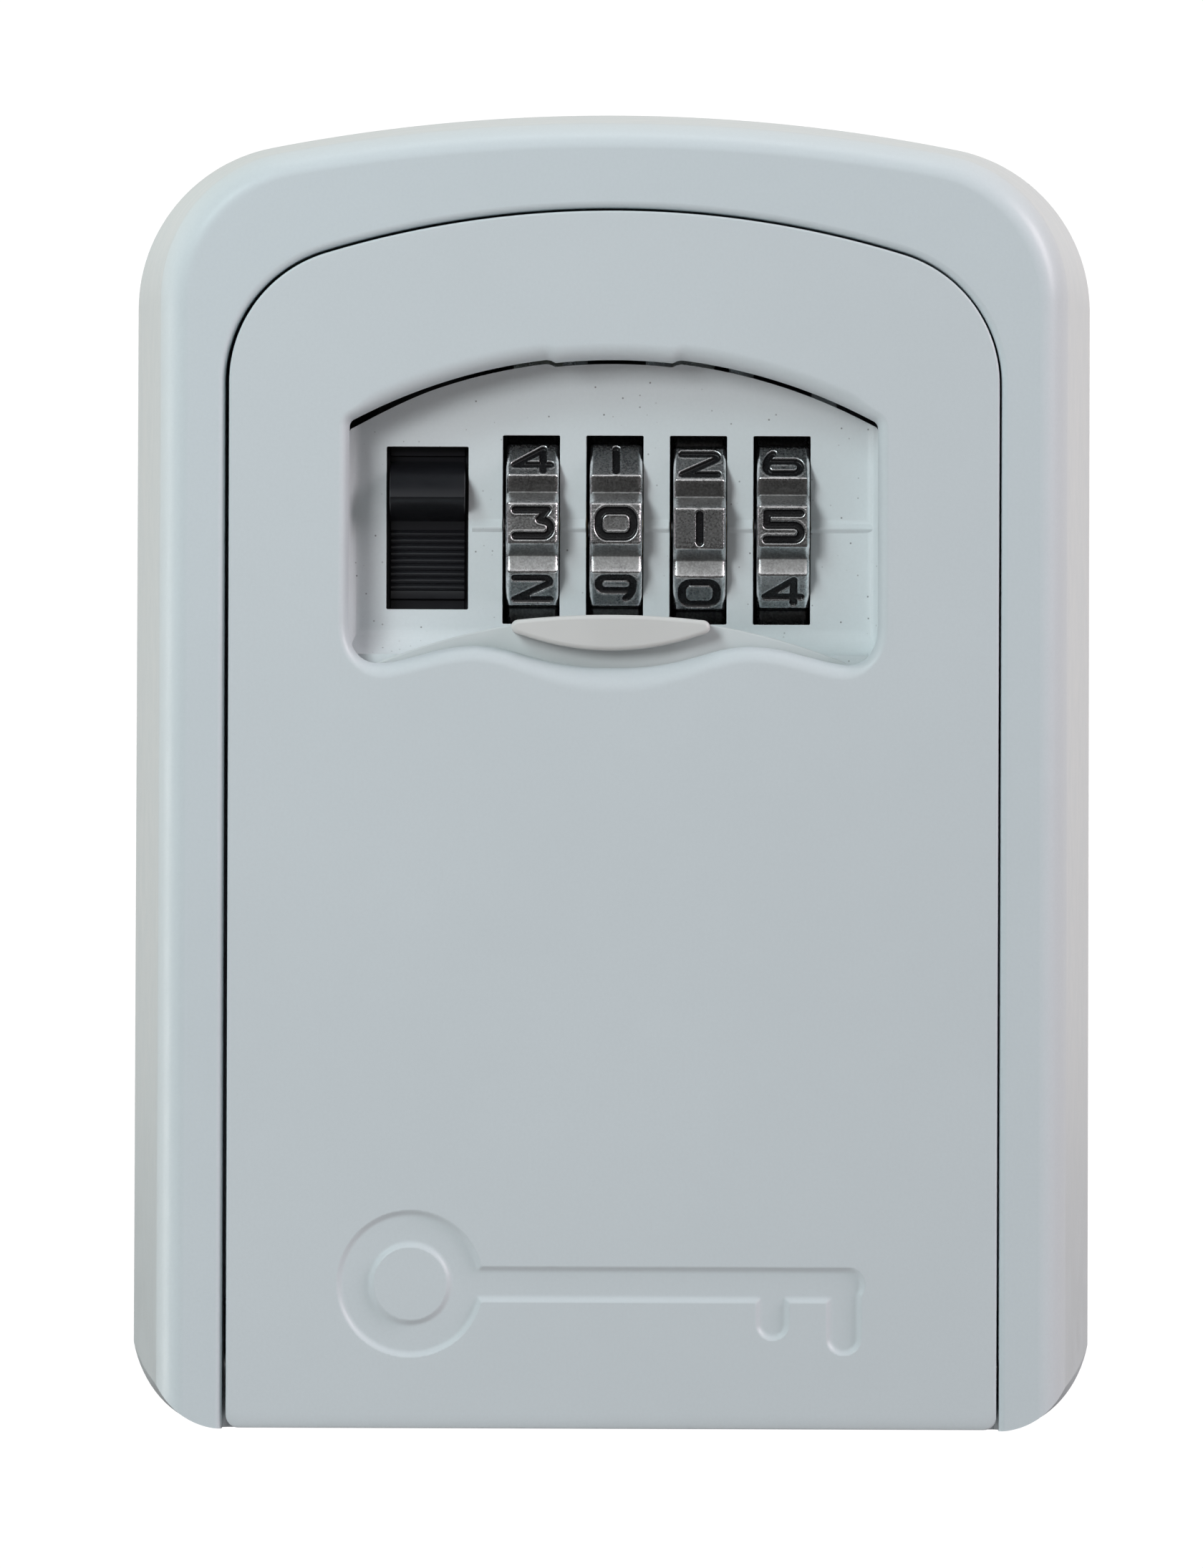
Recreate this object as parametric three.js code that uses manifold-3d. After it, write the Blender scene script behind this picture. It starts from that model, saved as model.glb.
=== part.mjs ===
// Wall-mounted key lock box: a die-cast back housing with a bottom-hinged front door.
// The door carries a four-wheel combination lock, a thumb lever, a latch bolt, a sliding
// weather shutter over the wheels, and a change slider that frees the wheels from their sleeves.
//
// Units are millimetres. +X is to the right of the box, +Z is up, and the front faces -Y.
// The origin is on the wall plane (the back of the housing), on the box's middle line.

import * as THREE from "three";
import { mergeVertices } from "three/addons/utils/BufferGeometryUtils.js";
import Module from "manifold-3d";

const wasm = await Module();
wasm.setup();

// ---------------------------------------------------------------- shared dimensions
// HW is a half width, T a thickness and R a radius.
const FRONT = -35; // front faces of the housing frame and the door
const BOTTOM = -57.2; // underside of the housing and the door

const DOOR_HW = 33.5;
const DOOR_TOP = 48.9;
const DOOR_ARCH_R = 86;
const DOOR_CORNER_R = 11.8;
const DOOR_GAP = 0.35; // clearance between the door and its opening

const HINGE_Y = -28.5;
const HINGE_Z = -52.4;
const PIN_R = 1.5;

const PANEL_FRONT = -29.1; // dial panel (front wall of the chassis)
const PANEL_BACK = -27.7;
const FLANGE_FRONT = PANEL_BACK + 0.1; // inner cover's flange, behind the panel
const FLANGE_T = 1.2;
const CHASSIS_HW = 31;
const CHASSIS_BOTTOM = -19;
const CHASSIS_TOP = 40;

const AXIS_Y = -21.9; // the wheels' common axis
const AXIS_Z = 21.4;
const SPINDLE_R = 1.4;
const WHEEL_W = 4.6;
const WHEEL_PITCH = 7.32;
const WHEEL_X = [0, 1, 2, 3].map((i) => -7.1 + i * WHEEL_PITCH);
const DIGITS = 10;
const DIGIT_STEP = 360 / DIGITS; // degrees

const LEVER_X = -16.3;

const DETENT_SCREW_X = [-10.2, 18.2];
const DETENT_SCREW_Y = -16.6;
const DETENT_BOTTOM = 8.65; // detent spring's strip
const DETENT_TOP = 9.05;

// name, x, z
const COVER_SCREWS = [
  ["cover_screw_top_left", -28.95, 34],
  ["cover_screw_top_right", 28.95, 34],
  ["cover_screw_low_left", -28.95, -14],
  ["cover_screw_low_right", 28.95, -14],
];
const COVER_SCREW_PLACES = COVER_SCREWS.map(([, x, z]) => [x, z]);
// x, z
const WALL_SCREW_PLACES = [
  [-20, 32],
  [20, 32],
  [-20, -32],
  [20, -32],
];

// ---------------------------------------------------------------- solids
// A closed three.js geometry as a manifold solid.
function solid(geometry) {
  geometry.deleteAttribute("normal");
  geometry.deleteAttribute("uv");
  const merged = mergeVertices(geometry, 1e-4);
  return new wasm.Manifold(
    new wasm.Mesh({
      numProp: 3,
      vertProperties: new Float32Array(merged.attributes.position.array),
      triVerts: new Uint32Array(merged.index.array),
    }),
  );
}

// A manifold solid as a three.js geometry.
function geometryOf(body) {
  const mesh = body.getMesh();
  const geometry = new THREE.BufferGeometry();
  geometry.setAttribute("position", new THREE.Float32BufferAttribute(mesh.vertProperties, 3));
  geometry.setIndex(new THREE.Uint32BufferAttribute(mesh.triVerts, 1));
  geometry.computeVertexNormals();
  return geometry;
}

const cut = (body, ...tools) => tools.reduce((rest, tool) => rest.subtract(tool), body);
const join = (body, ...parts) => parts.reduce((whole, part) => whole.add(part), body);

// Ranges are [low, high] pairs.
const about = (centre, half) => [centre - half, centre + half];
const bothSides = (near, far) => [
  [-far, -near],
  [near, far],
];
const middle = ([low, high]) => (low + high) / 2;
const extent = ([low, high]) => high - low;

function box(xs, ys, zs) {
  const geometry = new THREE.BoxGeometry(extent(xs), extent(ys), extent(zs));
  geometry.translate(middle(xs), middle(ys), middle(zs));
  return solid(geometry);
}
// The same box on the left and on the right of the middle line.
const boxPair = (near, far, ys, zs) => bothSides(near, far).map((xs) => box(xs, ys, zs));

// Cylinders along each axis; with an end radius, they taper to it at the range's high end.
function cylinderX(radius, xs, y, z, segments = 16) {
  const geometry = new THREE.CylinderGeometry(radius, radius, extent(xs), segments);
  geometry.rotateZ(-Math.PI / 2);
  geometry.translate(middle(xs), y, z);
  return solid(geometry);
}
function cylinderY(radius, ys, x, z, segments = 16, endRadius = radius) {
  const geometry = new THREE.CylinderGeometry(endRadius, radius, extent(ys), segments);
  geometry.translate(x, middle(ys), z);
  return solid(geometry);
}
function cylinderZ(radius, zs, x, y, segments = 16, endRadius = radius) {
  const geometry = new THREE.CylinderGeometry(endRadius, radius, extent(zs), segments);
  geometry.rotateX(Math.PI / 2);
  geometry.translate(x, y, middle(zs));
  return solid(geometry);
}
// One Y cylinder at each [x, z] place.
const cylindersAt = (places, radius, ys, segments, endRadius) =>
  places.map(([x, z]) => cylinderY(radius, ys, x, z, segments, endRadius));

const vectors = (points) => points.map(([a, b]) => new THREE.Vector2(a, b));
const extrusion = (points, range) =>
  new THREE.ExtrudeGeometry(new THREE.Shape(vectors(points)), {
    depth: extent(range),
    bevelEnabled: false,
  });

// An outline drawn in X and Z, filling a range of Y.
function prismXZ(points, ys) {
  const geometry = extrusion(points, ys);
  geometry.rotateX(Math.PI / 2);
  geometry.translate(0, ys[1], 0);
  return solid(geometry);
}
// An outline drawn in Y and Z, filling a range of X.
function prismYZ(points, xs) {
  const geometry = extrusion(points, xs);
  geometry.applyMatrix4(
    new THREE.Matrix4().makeBasis(
      new THREE.Vector3(0, 1, 0),
      new THREE.Vector3(0, 0, 1),
      new THREE.Vector3(1, 0, 0),
    ),
  );
  geometry.translate(xs[0], 0, 0);
  return solid(geometry);
}

// A skin over closed rings, each [offset, points], all with the same number of points.
// By default the points are X and Z and the offsets are Y, from back (+Y) to front (-Y).
// Points run anticlockwise as seen from beyond the last ring.
function loft(rings, place = (y, x, z) => [x, y, z]) {
  const count = rings[0][1].length;
  const positions = rings.flatMap(([offset, points]) =>
    points.flatMap(([a, b]) => place(offset, a, b)),
  );
  const indices = [];
  const last = (rings.length - 1) * count;
  for (let start = 0; start < last; start += count)
    for (let i = 0; i < count; i++) {
      const here = start + i;
      const next = start + ((i + 1) % count);
      indices.push(here, next, next + count, here, next + count, here + count);
    }
  const cap = ([, points]) => THREE.ShapeUtils.triangulateShape(vectors(points), []);
  for (const [a, b, c] of cap(rings[0])) indices.push(a, c, b);
  for (const [a, b, c] of cap(rings.at(-1))) indices.push(last + a, last + b, last + c);
  const geometry = new THREE.BufferGeometry();
  geometry.setAttribute("position", new THREE.Float32BufferAttribute(positions, 3));
  geometry.setIndex(indices);
  return solid(geometry);
}

function polar(radius, degrees) {
  const angle = THREE.MathUtils.degToRad(degrees);
  return [radius * Math.cos(angle), radius * Math.sin(angle)];
}

// The box's arched outline in X and Z: a shallow arch on two corner arcs, straight sides and
// rounded feet. Points run anticlockwise as seen from the front.
// foot: the right foot's arc as [centre x, centre z, radius]; by default it is tangent to
// the side and to the bottom.
function arched({
  halfWidth,
  top,
  archRadius,
  cornerRadius,
  bottom,
  footRadius,
  foot = [halfWidth - footRadius, bottom + footRadius, footRadius],
  footSteps = 5,
}) {
  const archSteps = 8;
  const cornerSteps = 7;
  const archZ = top - archRadius;
  const cornerX = halfWidth - cornerRadius;
  const cornerZ = archZ + Math.sqrt((archRadius - cornerRadius) ** 2 - cornerX ** 2);
  const joinAngle = Math.atan2(cornerX, cornerZ - archZ); // off the vertical
  const [footX, footZ, footR] = foot;
  const footSweep = Math.asin(Math.min(1, (halfWidth - footX) / footR));
  // angles are measured from straight up, towards +X
  const arc = (x, z, radius, from, to, steps) =>
    Array.from({ length: steps + 1 }, (_, i) => {
      const angle = from + ((to - from) * i) / steps;
      return [x + radius * Math.sin(angle), z + radius * Math.cos(angle)];
    });
  return [
    ...arc(footX, footZ, footR, Math.PI, Math.PI - footSweep, footSteps),
    ...arc(cornerX, cornerZ, cornerRadius, Math.PI / 2, joinAngle, cornerSteps),
    ...arc(0, archZ, archRadius, joinAngle, -joinAngle, archSteps).slice(1),
    ...arc(-cornerX, cornerZ, cornerRadius, -joinAngle, -Math.PI / 2, cornerSteps).slice(1),
    ...arc(-footX, footZ, footR, -Math.PI + footSweep, -Math.PI, footSteps),
  ];
}

// A single arc over the middle line, from right to left.
function archPoints(halfWidth, radius, top) {
  const steps = 14;
  const reach = Math.asin(halfWidth / radius);
  return Array.from({ length: steps + 1 }, (_, i) => {
    const angle = reach - (2 * reach * i) / steps;
    return [radius * Math.sin(angle), top - radius + radius * Math.cos(angle)];
  });
}

class Helix extends THREE.Curve {
  constructor(radius, z0, z1, turns) {
    super();
    Object.assign(this, { radius, z0, z1, turns });
  }
  getPoint(t, target = new THREE.Vector3()) {
    const angle = t * this.turns * Math.PI * 2;
    return target.set(
      this.radius * Math.cos(angle),
      this.radius * Math.sin(angle),
      this.z0 + (this.z1 - this.z0) * t,
    );
  }
}
// A coil spring along +Z from the origin, of six-sided wire.
function coil({ radius, wireRadius, length, turns }) {
  const section = [0, 1, 2, 3, 4, 5].map((i) => polar(wireRadius, i * 60));
  return solid(
    new THREE.ExtrudeGeometry(new THREE.Shape(vectors(section)), {
      steps: Math.round(turns * 10),
      bevelEnabled: false,
      extrudePath: new Helix(radius, wireRadius, length - wireRadius, turns),
    }),
  );
}

// ---------------------------------------------------------------- materials
const standard = (settings) => new THREE.MeshStandardMaterial(settings);
// pale grey-green powder coat
const paint = standard({ color: 0xc0cacc, roughness: 0.45, metalness: 0.05 });
const panelPaint = standard({ color: 0xc6cfd1, roughness: 0.35, metalness: 0.05 });
const shutterPlastic = standard({ color: 0xd6d4d0, roughness: 0.5, metalness: 0 });
const blackPlastic = standard({ color: 0x14161a, roughness: 0.45, metalness: 0 });
const wheelMetal = standard({ color: 0x8a8984, roughness: 0.35, metalness: 0.9 });
const steel = standard({ color: 0xa9adb0, roughness: 0.35, metalness: 0.95 });
const brass = standard({ color: 0xb59a58, roughness: 0.35, metalness: 0.9 });
const coverMetal = standard({ color: 0x8e9598, roughness: 0.5, metalness: 0.7 });

// ---------------------------------------------------------------- scene helpers
function addGroup(parent, name, x = 0, y = 0, z = 0) {
  const group = new THREE.Group();
  group.name = name;
  group.position.set(x, y, z);
  parent.add(group);
  return group;
}
function add(parent, name, body, material, x = 0, y = 0, z = 0) {
  const mesh = new THREE.Mesh(geometryOf(body), material);
  mesh.name = name;
  mesh.position.set(x, y, z);
  parent.add(mesh);
  return mesh;
}

// ---------------------------------------------------------------- housing
const BACK_HW = 42.9; // housing's size on the wall
const BACK_TOP = 59.25;
const HEEL_DRAFT = 1.9; // how far the underside slopes down towards the wall
const FLANK_END = -31; // where the drafted flank turns into the rounded front edge
const LIP_BACK = -31.6; // back of the front frame
const PLATE_FRONT = -2.8; // inner face of the back plate
const OPEN_HW = DOOR_HW + DOOR_GAP;

// Bores for the two hinge pins, from near to far off the middle line.
const hingeBores = (clearance, near, far) =>
  bothSides(near, far).map((xs) => cylinderX(PIN_R + clearance, xs, HINGE_Y, HINGE_Z));

function housingOuter() {
  const footX = 34.3;
  const footR = 7.35;
  const backFootR = 7.6;
  const backFoot = [BACK_HW - backFootR, BOTTOM - HEEL_DRAFT + backFootR, backFootR];
  // the lower corners keep one round's centre to the face, and the sloping sides run into it
  const foot = (inset) => [footX, BOTTOM + footR, footR - inset];
  // y, inset of the sides, inset of the top, foot
  const stations = [
    [0, 0, 0, backFoot],
    [FLANK_END, 3.15, 2.4, foot(0)],
    [-32.7, 3.45, 2.65, foot(0.1)],
    [-34, 4.1, 3.2, foot(0.4)],
    [-34.75, 4.9, 3.95, foot(0.8)],
    [FRONT, 5.7, 4.7, foot(1.3)],
  ];
  return loft(
    stations.map(([y, side, top, footArc]) => [
      y,
      arched({
        halfWidth: BACK_HW - side,
        top: BACK_TOP - top,
        archRadius: 159,
        cornerRadius: 14.85 - side * 0.6,
        foot: footArc,
        footSteps: 7,
      }),
    ]),
  );
}

// The space behind the frame, less the blocks that stand in it.
function housingHollow() {
  const ring = (y, halfWidth, top) => [
    y,
    arched({
      halfWidth,
      top,
      archRadius: 160,
      cornerRadius: 11.5,
      bottom: BOTTOM + 2.6,
      footRadius: 5,
    }),
  ];
  return cut(
    loft([ring(PLATE_FRONT, 39.6, 56.2), ring(LIP_BACK, 36.7, 53.9)]),
    // bosses for the hinge pins
    ...boxPair(OPEN_HW, 44, [-33, -22.5], [-60, -46.5]),
    // rib the bolt stands behind
    box([-10, 10], [-24.5, -21.2], [49.6, 60]),
    // bosses round the wall screws
    ...cylindersAt(WALL_SCREW_PLACES, 6.2, [-4.2, 0.5], 20),
  );
}

// Shallow recess in the back, leaving a rim, four screw pads and a middle bar.
function backRecess() {
  const outline = arched({
    halfWidth: 36.9,
    top: 53.2,
    archRadius: 160,
    cornerRadius: 9,
    bottom: BOTTOM + 4.2,
    footRadius: 4,
  });
  return cut(
    prismXZ(outline, [-0.9, 1]),
    ...cylindersAt(WALL_SCREW_PLACES, 7.5, [-2, 2], 24),
    box([-4, 4], [-2, 2], [-60, 60]),
  );
}

function housing() {
  const opening = arched({
    halfWidth: OPEN_HW,
    top: DOOR_TOP + DOOR_GAP,
    archRadius: DOOR_ARCH_R + DOOR_GAP,
    cornerRadius: DOOR_CORNER_R + DOOR_GAP,
    bottom: -70,
    footRadius: 1,
    footSteps: 1,
  });
  return cut(
    housingOuter(),
    housingHollow(),
    prismXZ(opening, [-40, LIP_BACK + 0.6]),
    // gap the door's heel swings in
    box([-OPEN_HW, OPEN_HW], [-40, -21.4], [-70, BOTTOM + 6]),
    backRecess(),
    // wall screw holes and their countersinks
    ...cylindersAt(WALL_SCREW_PLACES, 2.4, [-10, 2], 20),
    ...cylindersAt(WALL_SCREW_PLACES, 4.9, [-4.6, -1.7], 20, 2.3),
    ...hingeBores(0.12, 30, 38.3),
  );
}

const PIN_X = 34.1; // middle of each hinge pin
const hingePin = () => cylinderX(PIN_R, about(0, 3.95), 0, 0);

// ---------------------------------------------------------------- door shell
const DOOR_BACK = -26; // rear edge of the skirt
const DOOR_PLATE_BACK = -33.2; // rear of the face plate
const DOOR_WALL = 2;

// An arch at the top, rounded lower corners, and a waved lower edge.
function windowOutline() {
  const halfWidth = 23.1;
  const notchHalfWidth = 5.6; // the middle of the arch hangs lower by the lip
  const lip = 0.35;
  // x, z down the left corner and along the lower edge to the middle
  const leftHalf = [
    [-halfWidth, 12.6], [-halfWidth + 0.2, 11.4], [-halfWidth + 1, 10.1],
    [-20.6, 9.35], [-18.2, 9.75], [-15.2, 10.6], [-12, 11],
    [-9.2, 10.55], [-6.2, 9.75], [-3.1, 9.25], [0, 9.1],
  ];
  const rightHalf = leftHalf
    .slice(0, -1)
    .reverse()
    .map(([x, z]) => [-x, z]);
  const arch = archPoints(halfWidth, 48.5, 36.3).map(([x, z]) => [
    x,
    Math.abs(x) < notchHalfWidth ? z - lip : z,
  ]);
  return [...leftHalf, ...rightHalf, ...arch];
}

// Plain key emblem, let into the face.
function keyEmblem() {
  const ys = [FRONT - 1, FRONT + 0.35];
  const bowX = -17.5;
  const bowZ = -44.6;
  const bow = cut(
    cylinderY(6.2, ys, bowX, bowZ, 28),
    cylinderY(3.4, [FRONT - 2, FRONT + 2], bowX, bowZ, 24),
  );
  return join(
    bow,
    box([-12, 22], ys, [-46, -43.2]),
    box([18.6, 22], ys, [-50.6, -45]),
    box([12.6, 15.6], ys, [-49.4, -45]),
  );
}

function doorHollow() {
  const outline = arched({
    halfWidth: DOOR_HW - DOOR_WALL,
    top: DOOR_TOP - DOOR_WALL,
    archRadius: DOOR_ARCH_R - DOOR_WALL,
    cornerRadius: DOOR_CORNER_R - DOOR_WALL,
    bottom: BOTTOM + 2.2,
    footRadius: 1,
    footSteps: 2,
  });
  return cut(
    prismXZ(outline, [DOOR_PLATE_BACK, DOOR_BACK + 1]),
    // blocks round the hinge pins
    ...boxPair(28, 34, [-36, -25], [-58, -48.4]),
    // screw posts
    ...cylindersAt(COVER_SCREW_PLACES, 2.45, [-36, -29.35]),
    // stiffening rib across the lower half
    box([-33, 33], [-36, -31.4], [-36.8, -35.4]),
  );
}

function doorShell() {
  // y, inset of the sides and top, rise of the bottom
  const stations = [
    [DOOR_BACK, 0, 0],
    [-33.4, 0, 0],
    [-34.4, 0.03, 0.45],
    [-34.85, 0.2, 1.1],
    [FRONT, 0.5, 1.8],
  ];
  const outer = loft(
    stations.map(([y, inset, rise]) => [
      y,
      arched({
        halfWidth: DOOR_HW - inset,
        top: DOOR_TOP - inset,
        archRadius: DOOR_ARCH_R,
        cornerRadius: DOOR_CORNER_R - inset,
        bottom: BOTTOM + rise,
        footRadius: 0.8,
        footSteps: 2,
      }),
    ]),
  );
  return cut(
    outer,
    doorHollow(),
    ...cylindersAt(COVER_SCREW_PLACES, 1.3, [-32.9, -25], 14),
    prismXZ(windowOutline(), [-40, DOOR_PLATE_BACK + 1]),
    ...hingeBores(0.2, 29.8, 40),
    keyEmblem(),
  );
}

// ---------------------------------------------------------------- chassis with the dial panel
// x, z of the plate shared by the dial panel and the inner cover's flange
const PLATE_OUTLINE = [
  [-CHASSIS_HW, CHASSIS_BOTTOM],
  [CHASSIS_HW, CHASSIS_BOTTOM],
  [CHASSIS_HW, 35.5],
  [27.5, CHASSIS_TOP],
  [-27.5, CHASSIS_TOP],
  [-CHASSIS_HW, 35.5],
];
const plateScrewHoles = () => cylindersAt(COVER_SCREW_PLACES, 1.4, [-34, -24], 14);

function dialChassis() {
  const through = [-40, -20]; // Y range of a cut through the panel
  const root = PANEL_BACK - 0.4; // parts behind the panel start inside it
  const railZs = [CHASSIS_BOTTOM, 37];
  // y, z of a bearing cheek for the spindle
  const cheek = [
    [root, 14.6], [-19.2, 14.6], [-16.4, 17.6],
    [-16.4, 25.2], [-19.2, 28.2], [root, 28.2],
  ];
  const panel = join(
    prismXZ(PLATE_OUTLINE, [PANEL_FRONT, PANEL_BACK]),
    // stepped rails down each side: inner, outer, and a low step beside them
    ...boxPair(23.2, 24.8, [-31.6, PANEL_FRONT + 0.4], railZs),
    ...boxPair(24.4, 26, [-32.9, PANEL_FRONT + 0.4], railZs),
    ...boxPair(21.9, 23.3, [PANEL_FRONT - 0.45, PANEL_FRONT + 0.3], railZs),
  );
  const slotted = cut(
    panel,
    ...WHEEL_X.map((x) => box(about(x, 2.6), through, [13, 29.6])),
    box(about(LEVER_X, 3.58), through, [14.1, 28.4]),
  );
  const cheeked = cut(
    join(slotted, prismYZ(cheek, [-11.6, -10.2]), prismYZ(cheek, [20.1, 21.4])),
    cylinderX(SPINDLE_R + 0.25, [-13, -9], AXIS_Y, AXIS_Z),
    cylinderX(SPINDLE_R + 0.25, [19, 23], AXIS_Y, AXIS_Z),
  );
  // ledge under the lever spring
  const ledge = box(about(LEVER_X, 2.6), [root, -22.8], [5.5, 6.4]);
  return cut(join(cheeked, ledge), ...plateScrewHoles());
}

// ---------------------------------------------------------------- inner cover
const COVER_X = [-25.2, 26.6];
const COVER_Z = [4, 43.8];
const COVER_BACK = -10.6;
const COVER_T = 1.2;
const COVER_EDGE = 0.8; // bevel round the back

// The cover's rectangle with its two upper corners cut off, in X and Z.
function coverOutline(inset) {
  const chamfer = 5.6;
  const left = COVER_X[0] + inset;
  const right = COVER_X[1] - inset;
  const bottom = COVER_Z[0] + inset;
  const top = COVER_Z[1] - inset;
  return [
    [left, bottom],
    [right, bottom],
    [right, top - chamfer],
    [right - chamfer, top],
    [left + chamfer, top],
    [left, top - chamfer],
  ];
}

function innerCover() {
  const ribBack = COVER_BACK - 1;
  const shell = cut(
    join(
      prismXZ(PLATE_OUTLINE, [FLANGE_FRONT, FLANGE_FRONT + FLANGE_T]),
      loft([
        [COVER_BACK, coverOutline(COVER_EDGE)],
        [COVER_BACK - COVER_EDGE, coverOutline(0)],
        [FLANGE_FRONT, coverOutline(0)],
      ]),
    ),
    prismXZ(coverOutline(COVER_T), [FLANGE_FRONT - 1, COVER_BACK - COVER_T]),
  );
  const fitted = join(
    shell,
    // ribs behind the bolt
    ...boxPair(6.2, 7.2, [-19, ribBack], [33.2, 42.8]),
    // seats under the latch springs
    ...boxPair(9.2, 12.8, [-20.5, ribBack], [32, 33.1]),
    // posts under the detent spring
    ...DETENT_SCREW_X.map((x) => cylinderZ(1.9, [COVER_Z[0] + 1, 8.5], x, DETENT_SCREW_Y, 14)),
  );
  return cut(
    fitted,
    ...DETENT_SCREW_X.map((x) => cylinderZ(0.85, [COVER_Z[0] + 1.6, 10], x, DETENT_SCREW_Y, 12)),
    // slot for the bolt
    box([-6.4, 6.4], [-21.2, -18.9], [41, 46]),
    // slot for the change slider
    box([21.6, 25.5], [-14, -9], [18.5, 24.3]),
    ...plateScrewHoles(),
  );
}

// Cross-head screw: the shank runs towards -Y from the underside of the head.
function coverScrew() {
  const recessYs = [0.75, 2];
  const longHalf = about(0, 1.4);
  const slotHalf = about(0, 0.28);
  return cut(
    join(cylinderY(1.1, [-6.1, 0.1], 0, 0, 12), cylinderY(2, [0, 1.2], 0, 0, 16, 1.8)),
    box(longHalf, recessYs, slotHalf),
    box(slotHalf, recessYs, longHalf),
  );
}

// ---------------------------------------------------------------- wheels and sleeves
// Solids here and in the next section are drawn about the wheels' axis.
const WHEEL_HALF_W = WHEEL_W / 2;

// A flat for each digit with a V groove between, in Y and Z; the first flat faces the front.
function wheelOutline(scale) {
  const flatRadius = 9.8;
  const grooveRadius = 8.9;
  const flatHalfAngle = 10.4;
  return Array.from({ length: DIGITS }, (_, i) => {
    const angle = 180 + i * DIGIT_STEP;
    return [
      polar(flatRadius * scale, angle - flatHalfAngle),
      polar(flatRadius * scale, angle + flatHalfAngle),
      polar(grooveRadius * scale, angle + DIGIT_STEP / 2),
    ];
  }).flat();
}

// Toothed bore in Y and Z.
function boreOutline() {
  const tipRadius = 3;
  const rootRadius = 4.4;
  const spaceHalfAngle = 9.5;
  return Array.from({ length: DIGITS }, (_, i) => {
    const angle = 90 + i * DIGIT_STEP;
    return [
      polar(tipRadius, angle - DIGIT_STEP / 2),
      polar(tipRadius, angle - spaceHalfAngle),
      polar(rootRadius, angle - spaceHalfAngle),
      polar(rootRadius, angle + spaceHalfAngle),
      polar(tipRadius, angle + spaceHalfAngle),
    ];
  }).flat();
}

function wheel() {
  const chamfer = 0.35;
  const rim = wheelOutline(1 - chamfer / 9.8);
  const full = wheelOutline(1);
  const body = loft(
    [
      [-WHEEL_HALF_W, rim],
      [-WHEEL_HALF_W + chamfer, full],
      [WHEEL_HALF_W - chamfer, full],
      [WHEEL_HALF_W, rim],
    ],
    (x, y, z) => [x, y, z],
  );
  // toothed bore on the left, plain counterbore on the right
  return cut(
    body,
    prismYZ(boreOutline(), [-WHEEL_HALF_W - 1, -WHEEL_HALF_W + 2]),
    cylinderX(4.7, [-WHEEL_HALF_W + 1.3, WHEEL_HALF_W + 1], 0, 0, 20),
  );
}

// Tube on the spindle, two keys in the wheel's teeth, and a collar with two gates.
function sleeve(isLast) {
  const left = -WHEEL_HALF_W + 0.1;
  const collarRight = WHEEL_HALF_W + 1.05;
  const tubeRight = isLast ? collarRight : WHEEL_HALF_W + 2.55;
  const keys = bothSides(2.2, 4.1).map((zs) =>
    box([left, -WHEEL_HALF_W + 1.2], about(0, 0.38), zs),
  );
  const gates = bothSides(2.62, 7).map((zs) =>
    box([WHEEL_HALF_W, WHEEL_HALF_W + 1.3], about(0, 1), zs),
  );
  const body = join(
    cylinderX(2.6, [left, tubeRight], 0, 0),
    cylinderX(5.5, [WHEEL_HALF_W + 0.25, collarRight], 0, 0, 24),
    ...keys,
  );
  const bore = cylinderX(SPINDLE_R + 0.2, [-WHEEL_HALF_W - 1, WHEEL_HALF_W + 3], 0, 0);
  return cut(body, ...gates, bore);
}

// ---------------------------------------------------------------- spindle and change slider
// Snap rings: one under the change spring, one at each end of the row of sleeves.
// name, x, radius
const CLIPS = [
  ["spring_clip", -15.9, 2.8],
  ["sleeve_clip_left", -9.75, 2.3],
  ["sleeve_clip_right", 18.55, 2.3],
];

function spindle() {
  const grooves = CLIPS.map(([, x]) =>
    cut(cylinderX(3, about(x, 0.3), 0, 0), cylinderX(0.95, about(x, 1), 0, 0)),
  );
  return cut(cylinderX(SPINDLE_R, [-16.9, 24], 0, 0), ...grooves);
}

// Snap ring, open at the top.
const clip = (x, radius) =>
  cut(
    cylinderX(radius, about(x, 0.15), 0, 0, 20),
    cylinderX(1.05, about(x, 1), 0, 0),
    box(about(x, 1), about(0, 0.85), [0.2, 4]),
  );

function changeSlider() {
  const left = 21.9;
  const right = 23.7;
  return cut(
    join(
      cylinderX(2.6, [left, right], 0, 0, 18),
      box([left, right], [1.2, 12.6], about(0, 2.4)),
      box([left, 24.3], [11.5, 12.7], about(0, 2.6)),
    ),
    cylinderX(SPINDLE_R + 0.1, [20, 26], 0, 0),
    // grooves across the back face
    ...[-1.5, 0, 1.5].map((z) => box([21, 25], [12.45, 13], about(z, 0.25))),
  );
}

// ---------------------------------------------------------------- detent spring under the wheels
// A flat strip with one upturned finger per wheel.
function detentSpring() {
  // y, z
  const finger = [
    [-19.7, 8.7], [-21.45, 10.85], [-21.9, 11.35], [-22.45, 10.75],
    [-22.75, 10.85], [-22.45, 11.15], [-21.9, 12.15], [-21.35, 11.15],
    [-19.6, 9.15], [-17.9, DETENT_TOP], [-17.9, DETENT_BOTTOM],
  ];
  const [screwLeft, screwRight] = DETENT_SCREW_X;
  const strip = box(
    [screwLeft - 2, screwRight + 2],
    about(DETENT_SCREW_Y, 2),
    [DETENT_BOTTOM, DETENT_TOP],
  );
  return cut(
    join(strip, ...WHEEL_X.map((x) => prismYZ(finger, about(x, 1.6)))),
    ...DETENT_SCREW_X.map((x) => cylinderZ(1.05, [8, 10], x, DETENT_SCREW_Y, 14)),
  );
}

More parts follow.
